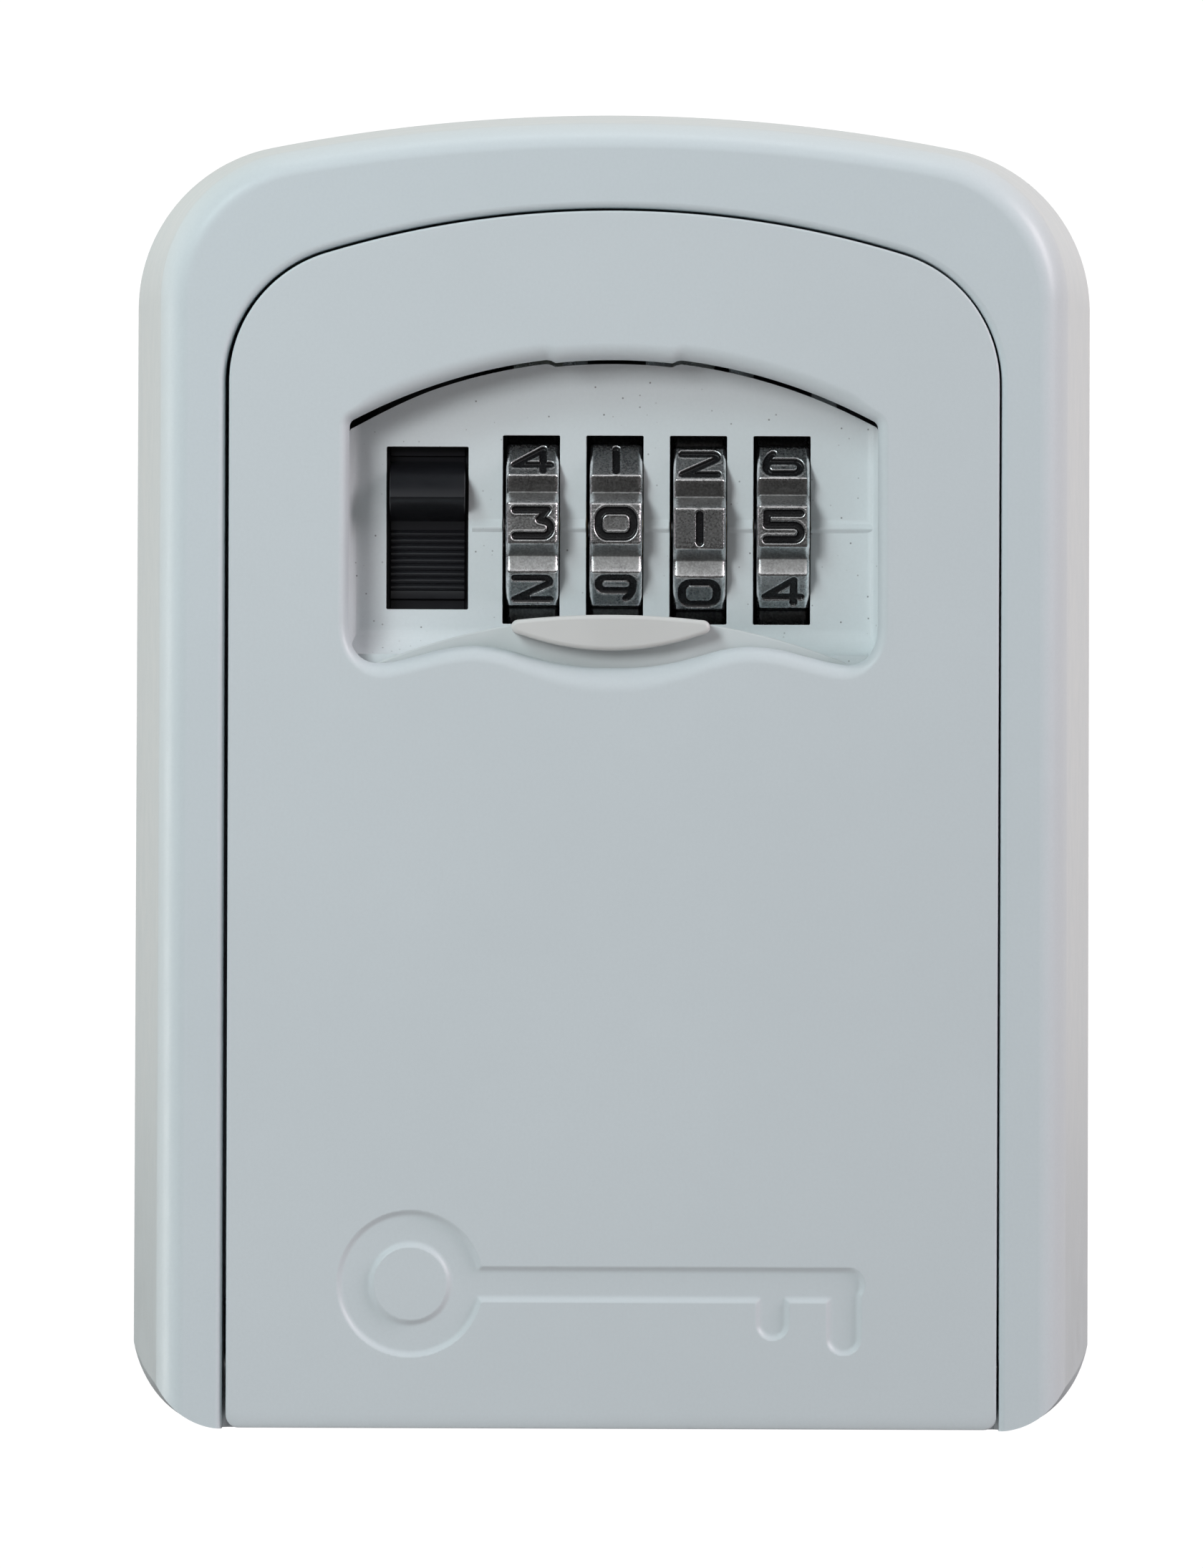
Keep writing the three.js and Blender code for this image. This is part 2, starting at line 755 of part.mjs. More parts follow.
// Slotted screw pointing down.
const detentScrew = () =>
  cut(
    join(cylinderZ(0.7, [-2.4, 0.1], 0, 0, 12), cylinderZ(1.6, [0, 0.7], 0, 0, 14, 1.4)),
    box(about(0, 1.1), about(0, 0.2), [0.4, 2]),
  );

// ---------------------------------------------------------------- thumb lever and fence
// X is measured from the lever's middle.
const FENCE_RIVET_Z = 34.7;
const LEVER_SPRING_Y = -25.2;

function thumbLever() {
  const back = -25.9;
  const face = -27.5;
  const bottom = 10.9;
  const top = 36.4;
  const skirtTop = 32.6;
  const inside = back - 0.4; // parts on the back start inside the lever
  // y, z of the hump that stands through the slot, from the top down
  const hump = [
    [face, 26.7], [-29.4, 26.35], [-30.6, 25.5],
    [-31.35, 24.5], [-31.5, 23.7], [-31.1, 22.8],
    [-29.9, 21.9], [-28.6, 21.3], [face, 20.9],
  ];
  // small grip ridges below the hump
  const ridges = Array.from({ length: 7 }, (_, i) => {
    const z = 20.2 - i * 0.69;
    return [
      [face, z],
      [face - 0.14, z - 0.17],
      [face, z - 0.34],
    ];
  }).flat();
  const profile = [
    [face, top],
    [face, skirtTop],
    ...hump,
    ...ridges,
    [face, bottom],
    [back, bottom],
    [back, top],
  ];
  return join(
    prismYZ(profile, about(0, 3.3)),
    // wider skirt behind the panel
    box(about(0, 4.4), [face + 0.15, back], [bottom, skirtTop]),
    // arm back to the fence
    box(about(0, 2.6), [inside, -22.9], [33, top]),
    // peg and seat for the spring
    cylinderZ(0.75, [10.2, 11.2], 0, LEVER_SPRING_Y, 10),
    box(about(0, 1.8), [inside, -23.6], [bottom, 12.3]),
  );
}

// A comb whose fingers stand over the collars' gates.
function fenceComb() {
  const front = -22.65;
  const back = -21.15;
  const ys = [front, back];
  const barBottom = 37;
  const fingerTop = 37.4;
  const shoulder = 28.4;
  const tip = 27.65;
  const fingers = WHEEL_X.map((wheelX) => {
    const left = wheelX + WHEEL_HALF_W + 0.28 - LEVER_X;
    const outline = [
      [left, shoulder], [left + 0.5, tip], [left + 1.7, tip],
      [left + 2.2, shoulder], [left + 2.2, fingerTop], [left, fingerTop],
    ];
    return prismXZ(outline, ys);
  });
  const comb = join(
    box([-18.6 - LEVER_X, 20.2 - LEVER_X], ys, [barBottom, 40]),
    box(about(0, 2.3), ys, [32.6, fingerTop]),
    ...fingers,
    // tongue back through the bolt's window
    box(about(-LEVER_X, 2), [back - 0.3, -18.95], [barBottom, 38.3]),
  );
  return cut(comb, cylinderY(0.95, [-24, -20], 0, FENCE_RIVET_Z, 12));
}

const fenceRivet = () =>
  join(cylinderY(0.8, [-22.8, -20.9], 0, 0, 12), cylinderY(1.5, [-21, -20.4], 0, 0, 14, 1.2));

// ---------------------------------------------------------------- latch bolt
function latchBolt() {
  const front = -20.8;
  const back = -19.3;
  const ys = [front, back];
  const halfWidth = 6;
  // y, z of the tip, sloping down to the back
  const tip = [
    [front, 46],
    [back, 46],
    [back, 47.4],
    [front, 48.5],
  ];
  return cut(
    join(
      box([-9, 9], ys, [31.8, 39.1]),
      box(about(0, halfWidth), ys, [38.5, 46.4]),
      prismYZ(tip, about(0, halfWidth)),
      // arms over the latch springs
      ...boxPair(8, 12.9, [front, -16.9], [37.7, 39.1]),
    ),
    box(about(0, 2.8), [-22, -18], [33.2, 38.8]),
  );
}

// ---------------------------------------------------------------- weather shutter
// Lens-shaped outline of the thumb tab, in X and Z.
function tabOutline(scale) {
  const halfWidth = 8.6;
  const centreZ = 12.35;
  const steps = 10;
  // direction is +1 for left to right, -1 for right to left
  const edge = (direction, bulge, endOffset) =>
    Array.from({ length: steps + 1 }, (_, i) => {
      const across = direction * ((2 * i) / steps - 1); // -1 to 1 over the width
      const z = centreZ + scale * ((1 - across ** 2) * bulge + endOffset);
      return [across * halfWidth * scale, z];
    });
  return [...edge(1, -1.65, -0.25), ...edge(-1, 1.15, 0.25)];
}

function shutter() {
  const halfWidth = 24.1;
  const bottom = -17;
  const plate = [[-halfWidth, bottom], [halfWidth, bottom], ...archPoints(halfWidth, 54, 13.6)];
  const tab = loft([
    [-32.4, tabOutline(1)],
    [-34.7, tabOutline(1)],
    [-35.15, tabOutline(0.95)],
  ]);
  return join(prismXZ(plate, [-32.9, -31.9]), tab);
}

// ---------------------------------------------------------------- assembly
const root = new THREE.Group();
root.name = "key_lock_box";
const housingGroup = addGroup(root, "housing_group");
const doorGroup = addGroup(root, "door_group");

add(housingGroup, "housing", housing(), paint);
add(housingGroup, "hinge_pin_left", hingePin(), steel, -PIN_X, HINGE_Y, HINGE_Z);
add(housingGroup, "hinge_pin_right", hingePin(), steel, PIN_X, HINGE_Y, HINGE_Z);

add(doorGroup, "door_shell", doorShell(), paint);
add(doorGroup, "dial_chassis", dialChassis(), panelPaint);
add(doorGroup, "inner_cover", innerCover(), coverMetal);
for (const [name, x, z] of COVER_SCREWS)
  add(doorGroup, name, coverScrew(), steel, x, FLANGE_FRONT + FLANGE_T + 0.1, z);

const bank = addGroup(doorGroup, "wheel_bank", 0, AXIS_Y, AXIS_Z);
WHEEL_X.forEach((x, i) => {
  add(bank, `wheel_${i + 1}`, wheel(), wheelMetal, x);
  add(bank, `sleeve_${i + 1}`, sleeve(i === WHEEL_X.length - 1), brass, x);
});
for (const [name, x, radius] of CLIPS) add(bank, name, clip(x, radius), steel);
add(bank, "spindle", spindle(), steel);
const changeCoil = coil({ radius: 2.15, wireRadius: 0.3, length: 3.5, turns: 4 });
const changeSpring = add(bank, "change_spring", changeCoil, steel, -15.45);
changeSpring.rotation.set(0, Math.PI / 2, 0); // lies along +X
add(bank, "change_slider", changeSlider(), steel);

add(doorGroup, "detent_spring", detentSpring(), steel);
["detent_screw_left", "detent_screw_right"].forEach((name, i) => {
  add(doorGroup, name, detentScrew(), steel, DETENT_SCREW_X[i], DETENT_SCREW_Y, DETENT_TOP + 0.1);
});

const leverGroup = addGroup(doorGroup, "lever_group", LEVER_X);
const leverCoil = coil({ radius: 1.5, wireRadius: 0.28, length: 4, turns: 3.5 });
add(leverGroup, "thumb_lever", thumbLever(), blackPlastic);
add(leverGroup, "fence_comb", fenceComb(), steel);
add(leverGroup, "fence_rivet", fenceRivet(), steel, 0, 0, FENCE_RIVET_Z);
add(leverGroup, "lever_spring", leverCoil, steel, 0, LEVER_SPRING_Y, 6.75);

const latchGroup = addGroup(doorGroup, "latch_group");
add(latchGroup, "latch_bolt", latchBolt(), steel);
for (const [name, x] of [
  ["latch_spring_left", -11],
  ["latch_spring_right", 11],
]) {
  const latchCoil = coil({ radius: 1.35, wireRadius: 0.25, length: 4.2, turns: 4 });
  add(latchGroup, name, latchCoil, steel, x, -18.5, 33.3);
}

add(doorGroup, "shutter", shutter(), shutterPlastic);

export default root;
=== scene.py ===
"""Looks of a wall-mounted key lock box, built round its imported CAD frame.

The box hangs on the wall plane Y = 0 and faces -Y, with X to its right as seen from in front
and Z up. Behind the door's window lie a shutter, a dial panel with four number wheels and a
thumb lever; the works sit behind the panel. Pieces are drawn in mm and finish_piece scales
them to metres.
"""

import math

import bmesh
import bpy
import numpy as np
from mathutils import Matrix, Vector


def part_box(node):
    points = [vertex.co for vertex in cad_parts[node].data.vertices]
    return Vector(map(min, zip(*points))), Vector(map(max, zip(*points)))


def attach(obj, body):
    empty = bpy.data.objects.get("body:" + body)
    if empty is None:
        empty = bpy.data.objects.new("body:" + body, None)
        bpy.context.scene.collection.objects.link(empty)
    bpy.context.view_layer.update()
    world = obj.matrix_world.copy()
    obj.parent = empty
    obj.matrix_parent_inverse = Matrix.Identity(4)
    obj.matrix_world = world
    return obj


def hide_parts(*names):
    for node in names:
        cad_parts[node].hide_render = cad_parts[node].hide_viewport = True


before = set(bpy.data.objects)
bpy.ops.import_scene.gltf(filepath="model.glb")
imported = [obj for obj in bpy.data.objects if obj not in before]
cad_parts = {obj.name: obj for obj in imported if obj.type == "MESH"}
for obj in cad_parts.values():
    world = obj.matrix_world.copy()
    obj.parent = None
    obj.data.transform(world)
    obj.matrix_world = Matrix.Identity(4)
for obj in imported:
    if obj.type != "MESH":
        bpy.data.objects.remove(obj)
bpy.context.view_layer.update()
scene = bpy.context.scene

# ------------------------------------------------------------------ resolution
ROUND_SIDES = 56
ARCH_STEPS = 72
CORNER_STEPS = 28
FOOT_STEPS = 18
EDGE_RINGS = 14  # rings on the housing's rounded front edge
WINDOW_FOOT_STEPS = 8  # per span of the window's foot curve
WINDOW_ARCH_STEPS = 120
EMBLEM_STEP = 0.14  # mm
WHEEL_ROWS = 800
WHEEL_COLUMNS = 62
SHUTTER_STEPS = 90
COIL_STEPS = 36  # per turn
WIRE_SIDES = 12


# ------------------------------------------------------------------ sizes read off the frame (mm)
def box_mm(node):
    """The low and high corners of a CAD node."""
    low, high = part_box(node)
    return [1000 * v for v in low], [1000 * v for v in high]


def centre_mm(node):
    return [(a + b) / 2 for a, b in zip(*box_mm(node))]


housing_low, housing_high = box_mm("housing")
door_low, door_high = box_mm("door_shell")
FRONT = housing_low[1]  # front plane of the housing and the door
HEEL = housing_low[2]  # underside of the housing at the wall
BACK_HALF, BACK_TOP = housing_high[0], housing_high[2]
DOOR_HALF, DOOR_BACK, DOOR_TOP = door_high
BOTTOM = door_low[2]  # underside of the door and of the housing's face
WHEEL_X = [centre_mm(f"wheel_{number}")[0] for number in (1, 2, 3, 4)]
AXIS_Y, AXIS_Z = centre_mm("spindle")[1:]
LEVER_X = centre_mm("thumb_lever")[0]
HINGE_Y, HINGE_Z = centre_mm("hinge_pin_left")[1:]

# ------------------------------------------------------------------ shared sizes (mm)
CAMERA_DISTANCE = 1000  # from the front plane
LIP_BACK = -31.6  # back of the housing's front wall
PLATE_FRONT = -2.8  # front of the housing's wall plate
OPEN_HALF, OPEN_TOP = 33.85, 49.25  # the door's opening in the housing
DOOR_PLATE_BACK = -33.2
PIN_RADIUS = 1.5
SCREWS = [(-28.95, 34.0), (28.95, 34.0), (-28.95, -14.0), (28.95, -14.0)]  # x, z
MOUNT_HOLES = [(-20, 32), (20, 32), (-20, -32), (20, -32)]  # x, z

WINDOW_HALF, WINDOW_TOP, WINDOW_ARCH = 23.05, 36.35, 48.5

PANEL_FRONT, PANEL_BACK = -29.1, -27.7
PANEL_RISE = 0.4  # how far the top of the panel comes forward
CHASSIS_HALF, CHASSIS_BOTTOM = 31.0, -19.0
CHASSIS_OUTLINE = [  # x, z
    (-CHASSIS_HALF, CHASSIS_BOTTOM), (CHASSIS_HALF, CHASSIS_BOTTOM), (CHASSIS_HALF, 35.5),
    (27.5, 40.0), (-27.5, 40.0), (-CHASSIS_HALF, 35.5),
]

WHEEL_RADIUS, WHEEL_ROOT = 9.8, 8.9  # at the edge of a digit's flat, and between two flats
WHEEL_HALF = 4.6 / 2
SPINDLE_RADIUS = 1.4
LATCH_SPRING_X = 11.0
DETENT_SCREWS_X, DETENT_SCREWS_Y = (-10.2, 18.2), -16.6


# ------------------------------------------------------------------ mesh helpers
def smoothstep(x):
    x = np.clip(x, 0, 1)
    return x * x * (3 - 2 * x)


def mirrored(near, far):
    """The span from near to far on the -X side, then the one on the +X side."""
    return (-far, -near), (near, far)


def place(axis, along, u, v):
    """A point along an axis, with u and v in the other two axes in X, Y, Z order."""
    return {"X": (along, u, v), "Y": (u, along, v), "Z": (u, v, along)}[axis]


def raw(verts, faces, name="piece", recalc=True):
    mesh = bpy.data.meshes.new(name)
    mesh.from_pydata([tuple(map(float, v)) for v in verts], [], faces)
    if recalc:
        bm = bmesh.new()
        bm.from_mesh(mesh)
        bmesh.ops.recalc_face_normals(bm, faces=bm.faces)
        bm.to_mesh(mesh)
        bm.free()
    mesh.update()
    piece = bpy.data.objects.new(name, mesh)
    scene.collection.objects.link(piece)
    return piece


def tube(rings):
    """Skins rings of points that all have the same count, and caps both ends."""
    count = len(rings[0])
    last = (len(rings) - 1) * count
    faces = []
    for start in range(0, last, count):
        for i in range(count):
            j = (i + 1) % count
            faces.append((start + i, start + j, start + count + j, start + count + i))
    faces.append(tuple(range(count)))
    faces.append(tuple(range(last, last + count)))
    return raw([point for ring in rings for point in ring], faces)


def loft(rings):
    """rings: (y, [(x, z), ...])."""
    return tube([[(x, y, z) for x, z in points] for y, points in rings])


def prism_xz(points, y0, y1):
    return loft([(y0, points), (y1, points)])


def prism_yz(points, x0, x1, inset=0.0):
    """An outline in Y and Z pushed along X; inset eases the edges of its two end faces."""
    points = np.array(points, float)
    if inset:
        end = offset_in(points, inset)
        eased = offset_in(points, 0.3 * inset)
        rows = [
            (x0, end), (x0 + 0.3 * inset, eased), (x0 + inset, points),
            (x1 - inset, points), (x1 - 0.3 * inset, eased), (x1, end),
        ]
    else:
        rows = [(x0, points), (x1, points)]
    return tube([[(x, y, z) for y, z in outline] for x, outline in rows])


def offset_in(points, distance):
    """Moves each point of a closed outline inwards along its mean normal."""
    following = np.roll(points, -1, 0)
    area = 0.5 * np.sum(points[:, 0] * following[:, 1] - following[:, 0] * points[:, 1])
    turn = 1 if area > 0 else -1

    def normals(edges):
        normal = np.stack([-edges[:, 1], edges[:, 0]], 1) * turn
        return normal / (np.linalg.norm(normal, axis=1)[:, None] + 1e-12)

    before = normals(points - np.roll(points, 1, 0))
    mean = before + normals(following - points)
    mean /= np.maximum(np.sum(mean * before, 1), 0.5)[:, None]
    return points + distance * mean


def box(x0, x1, y0, y1, z0, z1):
    return prism_xz([(x0, z0), (x1, z0), (x1, z1), (x0, z1)], y0, y1)


def cylinder(axis, radius, start, end, u, v, end_radius=None, sides=ROUND_SIDES):
    """A cylinder or cone along axis, at (u, v) in the other two axes."""
    rings = []
    for along, r in ((start, radius), (end, end_radius or radius)):
        angles = [2 * math.pi * k / sides for k in range(sides)]
        rings.append([place(axis, along, u + r * math.cos(a), v + r * math.sin(a)) for a in angles])
    return tube(rings)


def turned(axis, profile, u, v):
    """Turns a closed (along, radius) profile about an axis through (u, v)."""
    verts, faces = [], []
    count = len(profile)
    for k in range(ROUND_SIDES):
        angle = 2 * math.pi * k / ROUND_SIDES
        for along, r in profile:
            verts.append(place(axis, along, u + r * math.cos(angle), v + r * math.sin(angle)))
    for k in range(ROUND_SIDES):
        here, there = k * count, (k + 1) % ROUND_SIDES * count
        for i in range(count):
            j = (i + 1) % count
            faces.append((here + i, there + i, there + j, here + j))
    return raw(verts, faces)


def combine(body, tools, operation):
    """Boolean of body with each tool in turn, applied to its mesh; the tools are removed."""
    for tool in tools:
        # the exact solver steps in where the quick one leaves next to nothing
        for solver in ("MANIFOLD", "EXACT"):
            modifier = body.modifiers.new("boolean", "BOOLEAN")
            modifier.operation = operation
            modifier.object = tool
            modifier.solver = solver
            depsgraph = bpy.context.evaluated_depsgraph_get()
            mesh = bpy.data.meshes.new_from_object(body.evaluated_get(depsgraph))
            body.modifiers.clear()
            if len(mesh.polygons) > 3:
                old = body.data
                body.data = mesh
                bpy.data.meshes.remove(old)
                break
            bpy.data.meshes.remove(mesh)
        tool_mesh = tool.data
        bpy.data.objects.remove(tool)
        bpy.data.meshes.remove(tool_mesh)


def cut(body, *tools):
    combine(body, tools, "DIFFERENCE")


def join(body, *tools):
    combine(body, tools, "UNION")


def round_over(start, radius, steps, direction=1):
    """(y, offset) stations of a quarter round; the offset runs from radius down to 0."""
    stations = []
    for k in range(steps + 1):
        angle = math.pi / 2 * k / steps
        y = start + direction * radius * (1 - math.cos(angle))
        stations.append((y, radius * (1 - math.sin(angle))))
    return stations


def mouth(face, radius, steps, reach, back):
    """(y, widening) stations of a cutter that rounds the front edge of its hole."""
    return [(face - reach, radius), *round_over(face, radius, steps), (back, 0.0)]


def arched(half, top, arch, corner, bottom=0.0, foot_radius=0.0, foot=None,
           foot_steps=FOOT_STEPS, shift=0.0):
    """The box's outline: a shallow arch on two corner arcs, straight sides and rounded feet.

    arch and corner are radii. foot gives the feet their own arc, as
    (centre x, centre z, radius across, radius up). shift moves the outline along X.
    """
    corner_x = half - corner
    arch_z = top - arch
    corner_z = arch_z + math.sqrt((arch - corner) ** 2 - corner_x ** 2)
    meet = math.atan2(corner_x, corner_z - arch_z)
    points = []

    def arc(centre_x, centre_z, radius, start, end, steps, first=0, up=None):
        for i in range(first, steps + 1):
            angle = start + (end - start) * i / steps
            x = centre_x + radius * math.sin(angle) + shift
            points.append((x, centre_z + (up or radius) * math.cos(angle)))

    foot_x, foot_z, across, up = foot or (
        half - foot_radius, bottom + foot_radius, foot_radius, foot_radius)
    end = math.asin(min(1.0, (half - foot_x) / across))
    arc(foot_x, foot_z, across, math.pi, math.pi - end, foot_steps, up=up)
    arc(corner_x, corner_z, corner, math.pi / 2, meet, CORNER_STEPS)
    arc(0, arch_z, arch, meet, -meet, ARCH_STEPS, first=1)
    arc(-corner_x, corner_z, corner, -meet, -math.pi / 2, CORNER_STEPS, first=1)
    arc(-foot_x, foot_z, across, -math.pi + end, -math.pi, foot_steps, up=up)
    return points


def path_distance(paths, X, Z):
    """Distance of each grid point from the nearest segment of the paths, at most 9."""
    distance = np.full(X.shape, 9.0)
    for path in paths:
        for (ax, az), (bx, bz) in zip(path, path[1:]):
            dx, dz = bx - ax, bz - az
            square = dx * dx + dz * dz
            if square < 1e-12:
                continue
            t = np.clip(((X - ax) * dx + (Z - az) * dz) / square, 0, 1)
            distance = np.minimum(distance, np.hypot(X - ax - t * dx, Z - az - t * dz))
    return distance


def finish_piece(piece, name, body, finish, node=None, bevel=0.0, smooth=32, segments=2,
                 weighted=True):
    """Scales a piece to metres, shades it, and puts it in the frame in place of its CAD node.

    finish is a (slot, material) pair; bevel is in mm and smooth in degrees.
    """
    slot, material = finish
    piece.name = name
    mesh = piece.data
    mesh.name = name
    mesh.transform(Matrix.Scale(0.001, 4))
    bm = bmesh.new()
    bm.from_mesh(mesh)
    bmesh.ops.remove_doubles(bm, verts=bm.verts, dist=1e-7)
    bmesh.ops.recalc_face_normals(bm, faces=bm.faces)
    bm.to_mesh(mesh)
    bm.free()
    mesh.polygons.foreach_set("use_smooth", [True] * len(mesh.polygons))
    mesh.set_sharp_from_angle(angle=math.radians(smooth))
    if bevel:
        edge = piece.modifiers.new("edge", "BEVEL")
        edge.width = bevel * 0.001
        edge.segments = segments
        edge.limit_method = "ANGLE"
        edge.angle_limit = math.radians(35)
        edge.harden_normals = True
        edge.use_clamp_overlap = True
    if weighted:
        normals = piece.modifiers.new("normals", "WEIGHTED_NORMAL")
        normals.mode = "FACE_AREA"
        normals.keep_sharp = True
        normals.weight = 50
    mesh.materials.clear()
    mesh.materials.append(material)
    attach(piece, body)
    if node:
        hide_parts(node)


# ------------------------------------------------------------------ shader helpers
class Graph:
    """Short ways to add nodes to the shader tree of a material or a world."""

    def __init__(self, owner):
        owner.use_nodes = True
        self.tree = owner.node_tree
        self.tree.nodes.clear()

    def feed(self, socket, value):
        """Links another node's output to a socket, or sets the socket's value."""
        if isinstance(value, bpy.types.NodeSocket):
            self.tree.links.new(value, socket)
        elif socket.type == "RGBA":
            socket.default_value = (*value, 1)
        else:
            socket.default_value = value

    def node(self, kind, inputs=None, **settings):
        """Adds a node; inputs are keyed by socket name or index."""
        node = self.tree.nodes.new("ShaderNode" + kind)
        for key, value in settings.items():
            setattr(node, key, value)
        for key, value in (inputs or {}).items():
            self.feed(node.inputs[key], value)
        return node

    def math(self, operation, a, b):
        return self.node("Math", {0: a, 1: b}, operation=operation).outputs[0]

    def span(self, value, source, to=(0.0, 1.0), interpolation="LINEAR"):
        """Maps the source range to another range, clamped."""
        inputs = dict(enumerate((value, *source, *to)))
        node = self.node("MapRange", inputs, clamp=True, interpolation_type=interpolation)
        return node.outputs[0]

    def mix(self, factor, a, b):
        return self.node("Mix", {0: factor, 6: a, 7: b}, data_type="RGBA").outputs[2]


class Material(Graph):
    """A principled material whose textures follow object coordinates."""

    def __init__(self, name):
        self.material = bpy.data.materials.new(name)
        super().__init__(self.material)
        self.output = self.node("OutputMaterial")
        self.surface = self.node("BsdfPrincipled")
        self.feed(self.output.inputs[0], self.surface.outputs[0])
        self.coordinates = self.node("TexCoord").outputs["Object"]

    def noise(self, scale, detail=2.0, rough=0.5, stretch=None):
        vector = self.coordinates
        if stretch:
            vector = self.node("Mapping", {"Vector": vector, "Scale": stretch}).outputs[0]
        inputs = {"Scale": scale, "Detail": detail, "Roughness": rough, "Vector": vector}
        return self.node("TexNoise", inputs).outputs["Fac"]

    def attribute(self, name):
        return self.node("Attribute", attribute_name=name).outputs["Fac"]

    def bump(self, height, strength, distance, normal=None):
        """distance is in metres; normal is a bump to build on."""
        inputs = {"Strength": strength, "Distance": distance, "Height": height}
        if normal:
            inputs["Normal"] = normal
        return self.node("Bump", inputs).outputs[0]

    def finish(self, inputs):
        """Feeds the principled shader and returns the material."""
        for key, value in inputs.items():
            self.feed(self.surface.inputs[key], value)
        return self.material


def shade(color, factor):
    return tuple(channel * factor for channel in color)


# ------------------------------------------------------------------ materials
def powder_coat(name, color, rough=0.42, peel=0.35, grain=0.25, specks=0.0):
    """Paint with orange peel and fine grain (bump strengths), and dark specks (0 to 1)."""
    m = Material(name)
    mottle = m.span(m.noise(scale=45), (0.35, 0.65))
    fine = m.span(m.noise(scale=3600, detail=3.0, rough=0.65), (0.35, 0.7), to=(0.0, 0.35))
    paint = m.mix(mottle, shade(color, 0.992), shade(color, 1.008))
    paint = m.mix(fine, paint, shade(color, 0.93))
    if specks:
        cells = m.node("TexVoronoi", {"Scale": 1250, "Vector": m.coordinates})
        near = m.span(cells.outputs["Distance"], (0.06, 0.13), to=(1.0, 0.0))
        cell_color = m.node("SeparateColor", {0: cells.outputs["Color"]})
        chosen = m.span(cell_color.outputs[0], (0.5, 0.9))
        amount = m.math("MULTIPLY", m.math("MULTIPLY", near, chosen), specks)
        paint = m.mix(amount, paint, shade(color, 0.25))
    bump = m.bump(m.noise(scale=700), strength=peel, distance=0.00002)
    fine_grain = m.noise(scale=4200, rough=0.6)
    return m.finish({
        "Base Color": paint,
        "Roughness": m.span(m.noise(scale=300), (0.3, 0.7), to=(rough - 0.04, rough + 0.06)),
        "Specular IOR Level": 0.42,
        "Coat Weight": 0.12,
        "Coat Roughness": 0.25,
        "Normal": m.bump(fine_grain, strength=grain, distance=0.000012, normal=bump),
    })


def metal(name, color, rough=0.3, scratch=0.3, stretch=(1, 1, 1), tint=None):
    """Bare metal; stretch squeezes its streaks along each axis, tint blotches it."""
    m = Material(name)
    streaks = m.noise(scale=900, detail=4.0, rough=0.6, stretch=stretch)
    tone = m.mix(m.span(streaks, (0.3, 0.7)), shade(color, 0.86), color)
    if tint:
        tone = m.mix(m.span(m.noise(scale=60), (0.4, 0.65), to=(0, 0.4)), tone, tint)
    wear = m.noise(scale=1400, detail=3.0, rough=0.6, stretch=stretch)
    return m.finish({
        "Base Color": tone,
        "Metallic": 1,
        "Roughness": m.span(wear, (0.3, 0.7), to=(rough - 0.07, rough + 0.1)),
        "Normal": m.bump(streaks, strength=scratch, distance=0.00001),
    })


def plastic(name, color, rough=0.45, grain=0.3, scale=5000, specular=0.5):
    """Moulded plastic; grain is the bump's strength and scale the grain's fineness."""
    m = Material(name)
    mottle = m.span(m.noise(scale=120), (0.35, 0.65))
    return m.finish({
        "Base Color": m.mix(mottle, shade(color, 0.95), color),
        "Roughness": m.span(m.noise(scale=900), (0.3, 0.7), to=(rough - 0.05, rough + 0.06)),
        "Specular IOR Level": specular,
        "Normal": m.bump(m.noise(scale=scale, rough=0.6), strength=grain, distance=0.00001),
    })


def wheel_metal():
    """Nickel: grainy, with painted shade deep in its valleys and bore, painted highlights on its
    edges, and black digits.
    """
    m = Material("wheel_metal")
    ink = m.attribute("ink")
    low = m.attribute("low")
    edge = m.attribute("edge")
    grain = m.noise(scale=5200, detail=3.0, rough=0.65)
    blotch = m.noise(scale=520, detail=3.0, rough=0.6)
    tone = m.mix(m.span(blotch, (0.32, 0.68)), (0.28, 0.28, 0.28), (0.44, 0.44, 0.44))
    tone = m.mix(m.span(grain, (0.42, 0.66), to=(0, 0.6)), tone, (0.72, 0.72, 0.73))
    # painted shade: darker deep in the valleys and in the bore, by the 'low' attribute
    tone = m.mix(m.math("MULTIPLY", low, 0.35), tone, (0.12, 0.115, 0.105))
    # painted highlight on the ends of the flats, the rims and the burrs, by the 'edge' attribute
    bright = m.math("MULTIPLY", edge, m.span(m.noise(scale=1500), (0.25, 0.5)))
    tone = m.mix(bright, tone, (0.95, 0.95, 0.96))

    # the grain frays the paint's edge
    fray = m.math("MULTIPLY", m.math("SUBTRACT", grain, 0.5), 0.35)
    paint = m.span(m.math("ADD", ink, fray), (0.35, 0.62))

    rough = m.span(grain, (0.3, 0.7), to=(0.20, 0.36))
    rough = m.math("ADD", rough, m.math("MULTIPLY", low, 0.12))
    rough = m.math("SUBTRACT", rough, m.math("MULTIPLY", bright, 0.12))
    bump = m.bump(grain, strength=0.8, distance=0.00003)
    return m.finish({
        "Base Color": m.mix(paint, tone, (0.006, 0.006, 0.007)),
        "Metallic": m.span(paint, (0, 1), to=(1.0, 0.0)),
        "Roughness": rough,
        "Normal": m.bump(blotch, strength=0.25, distance=0.00003, normal=bump),
    })


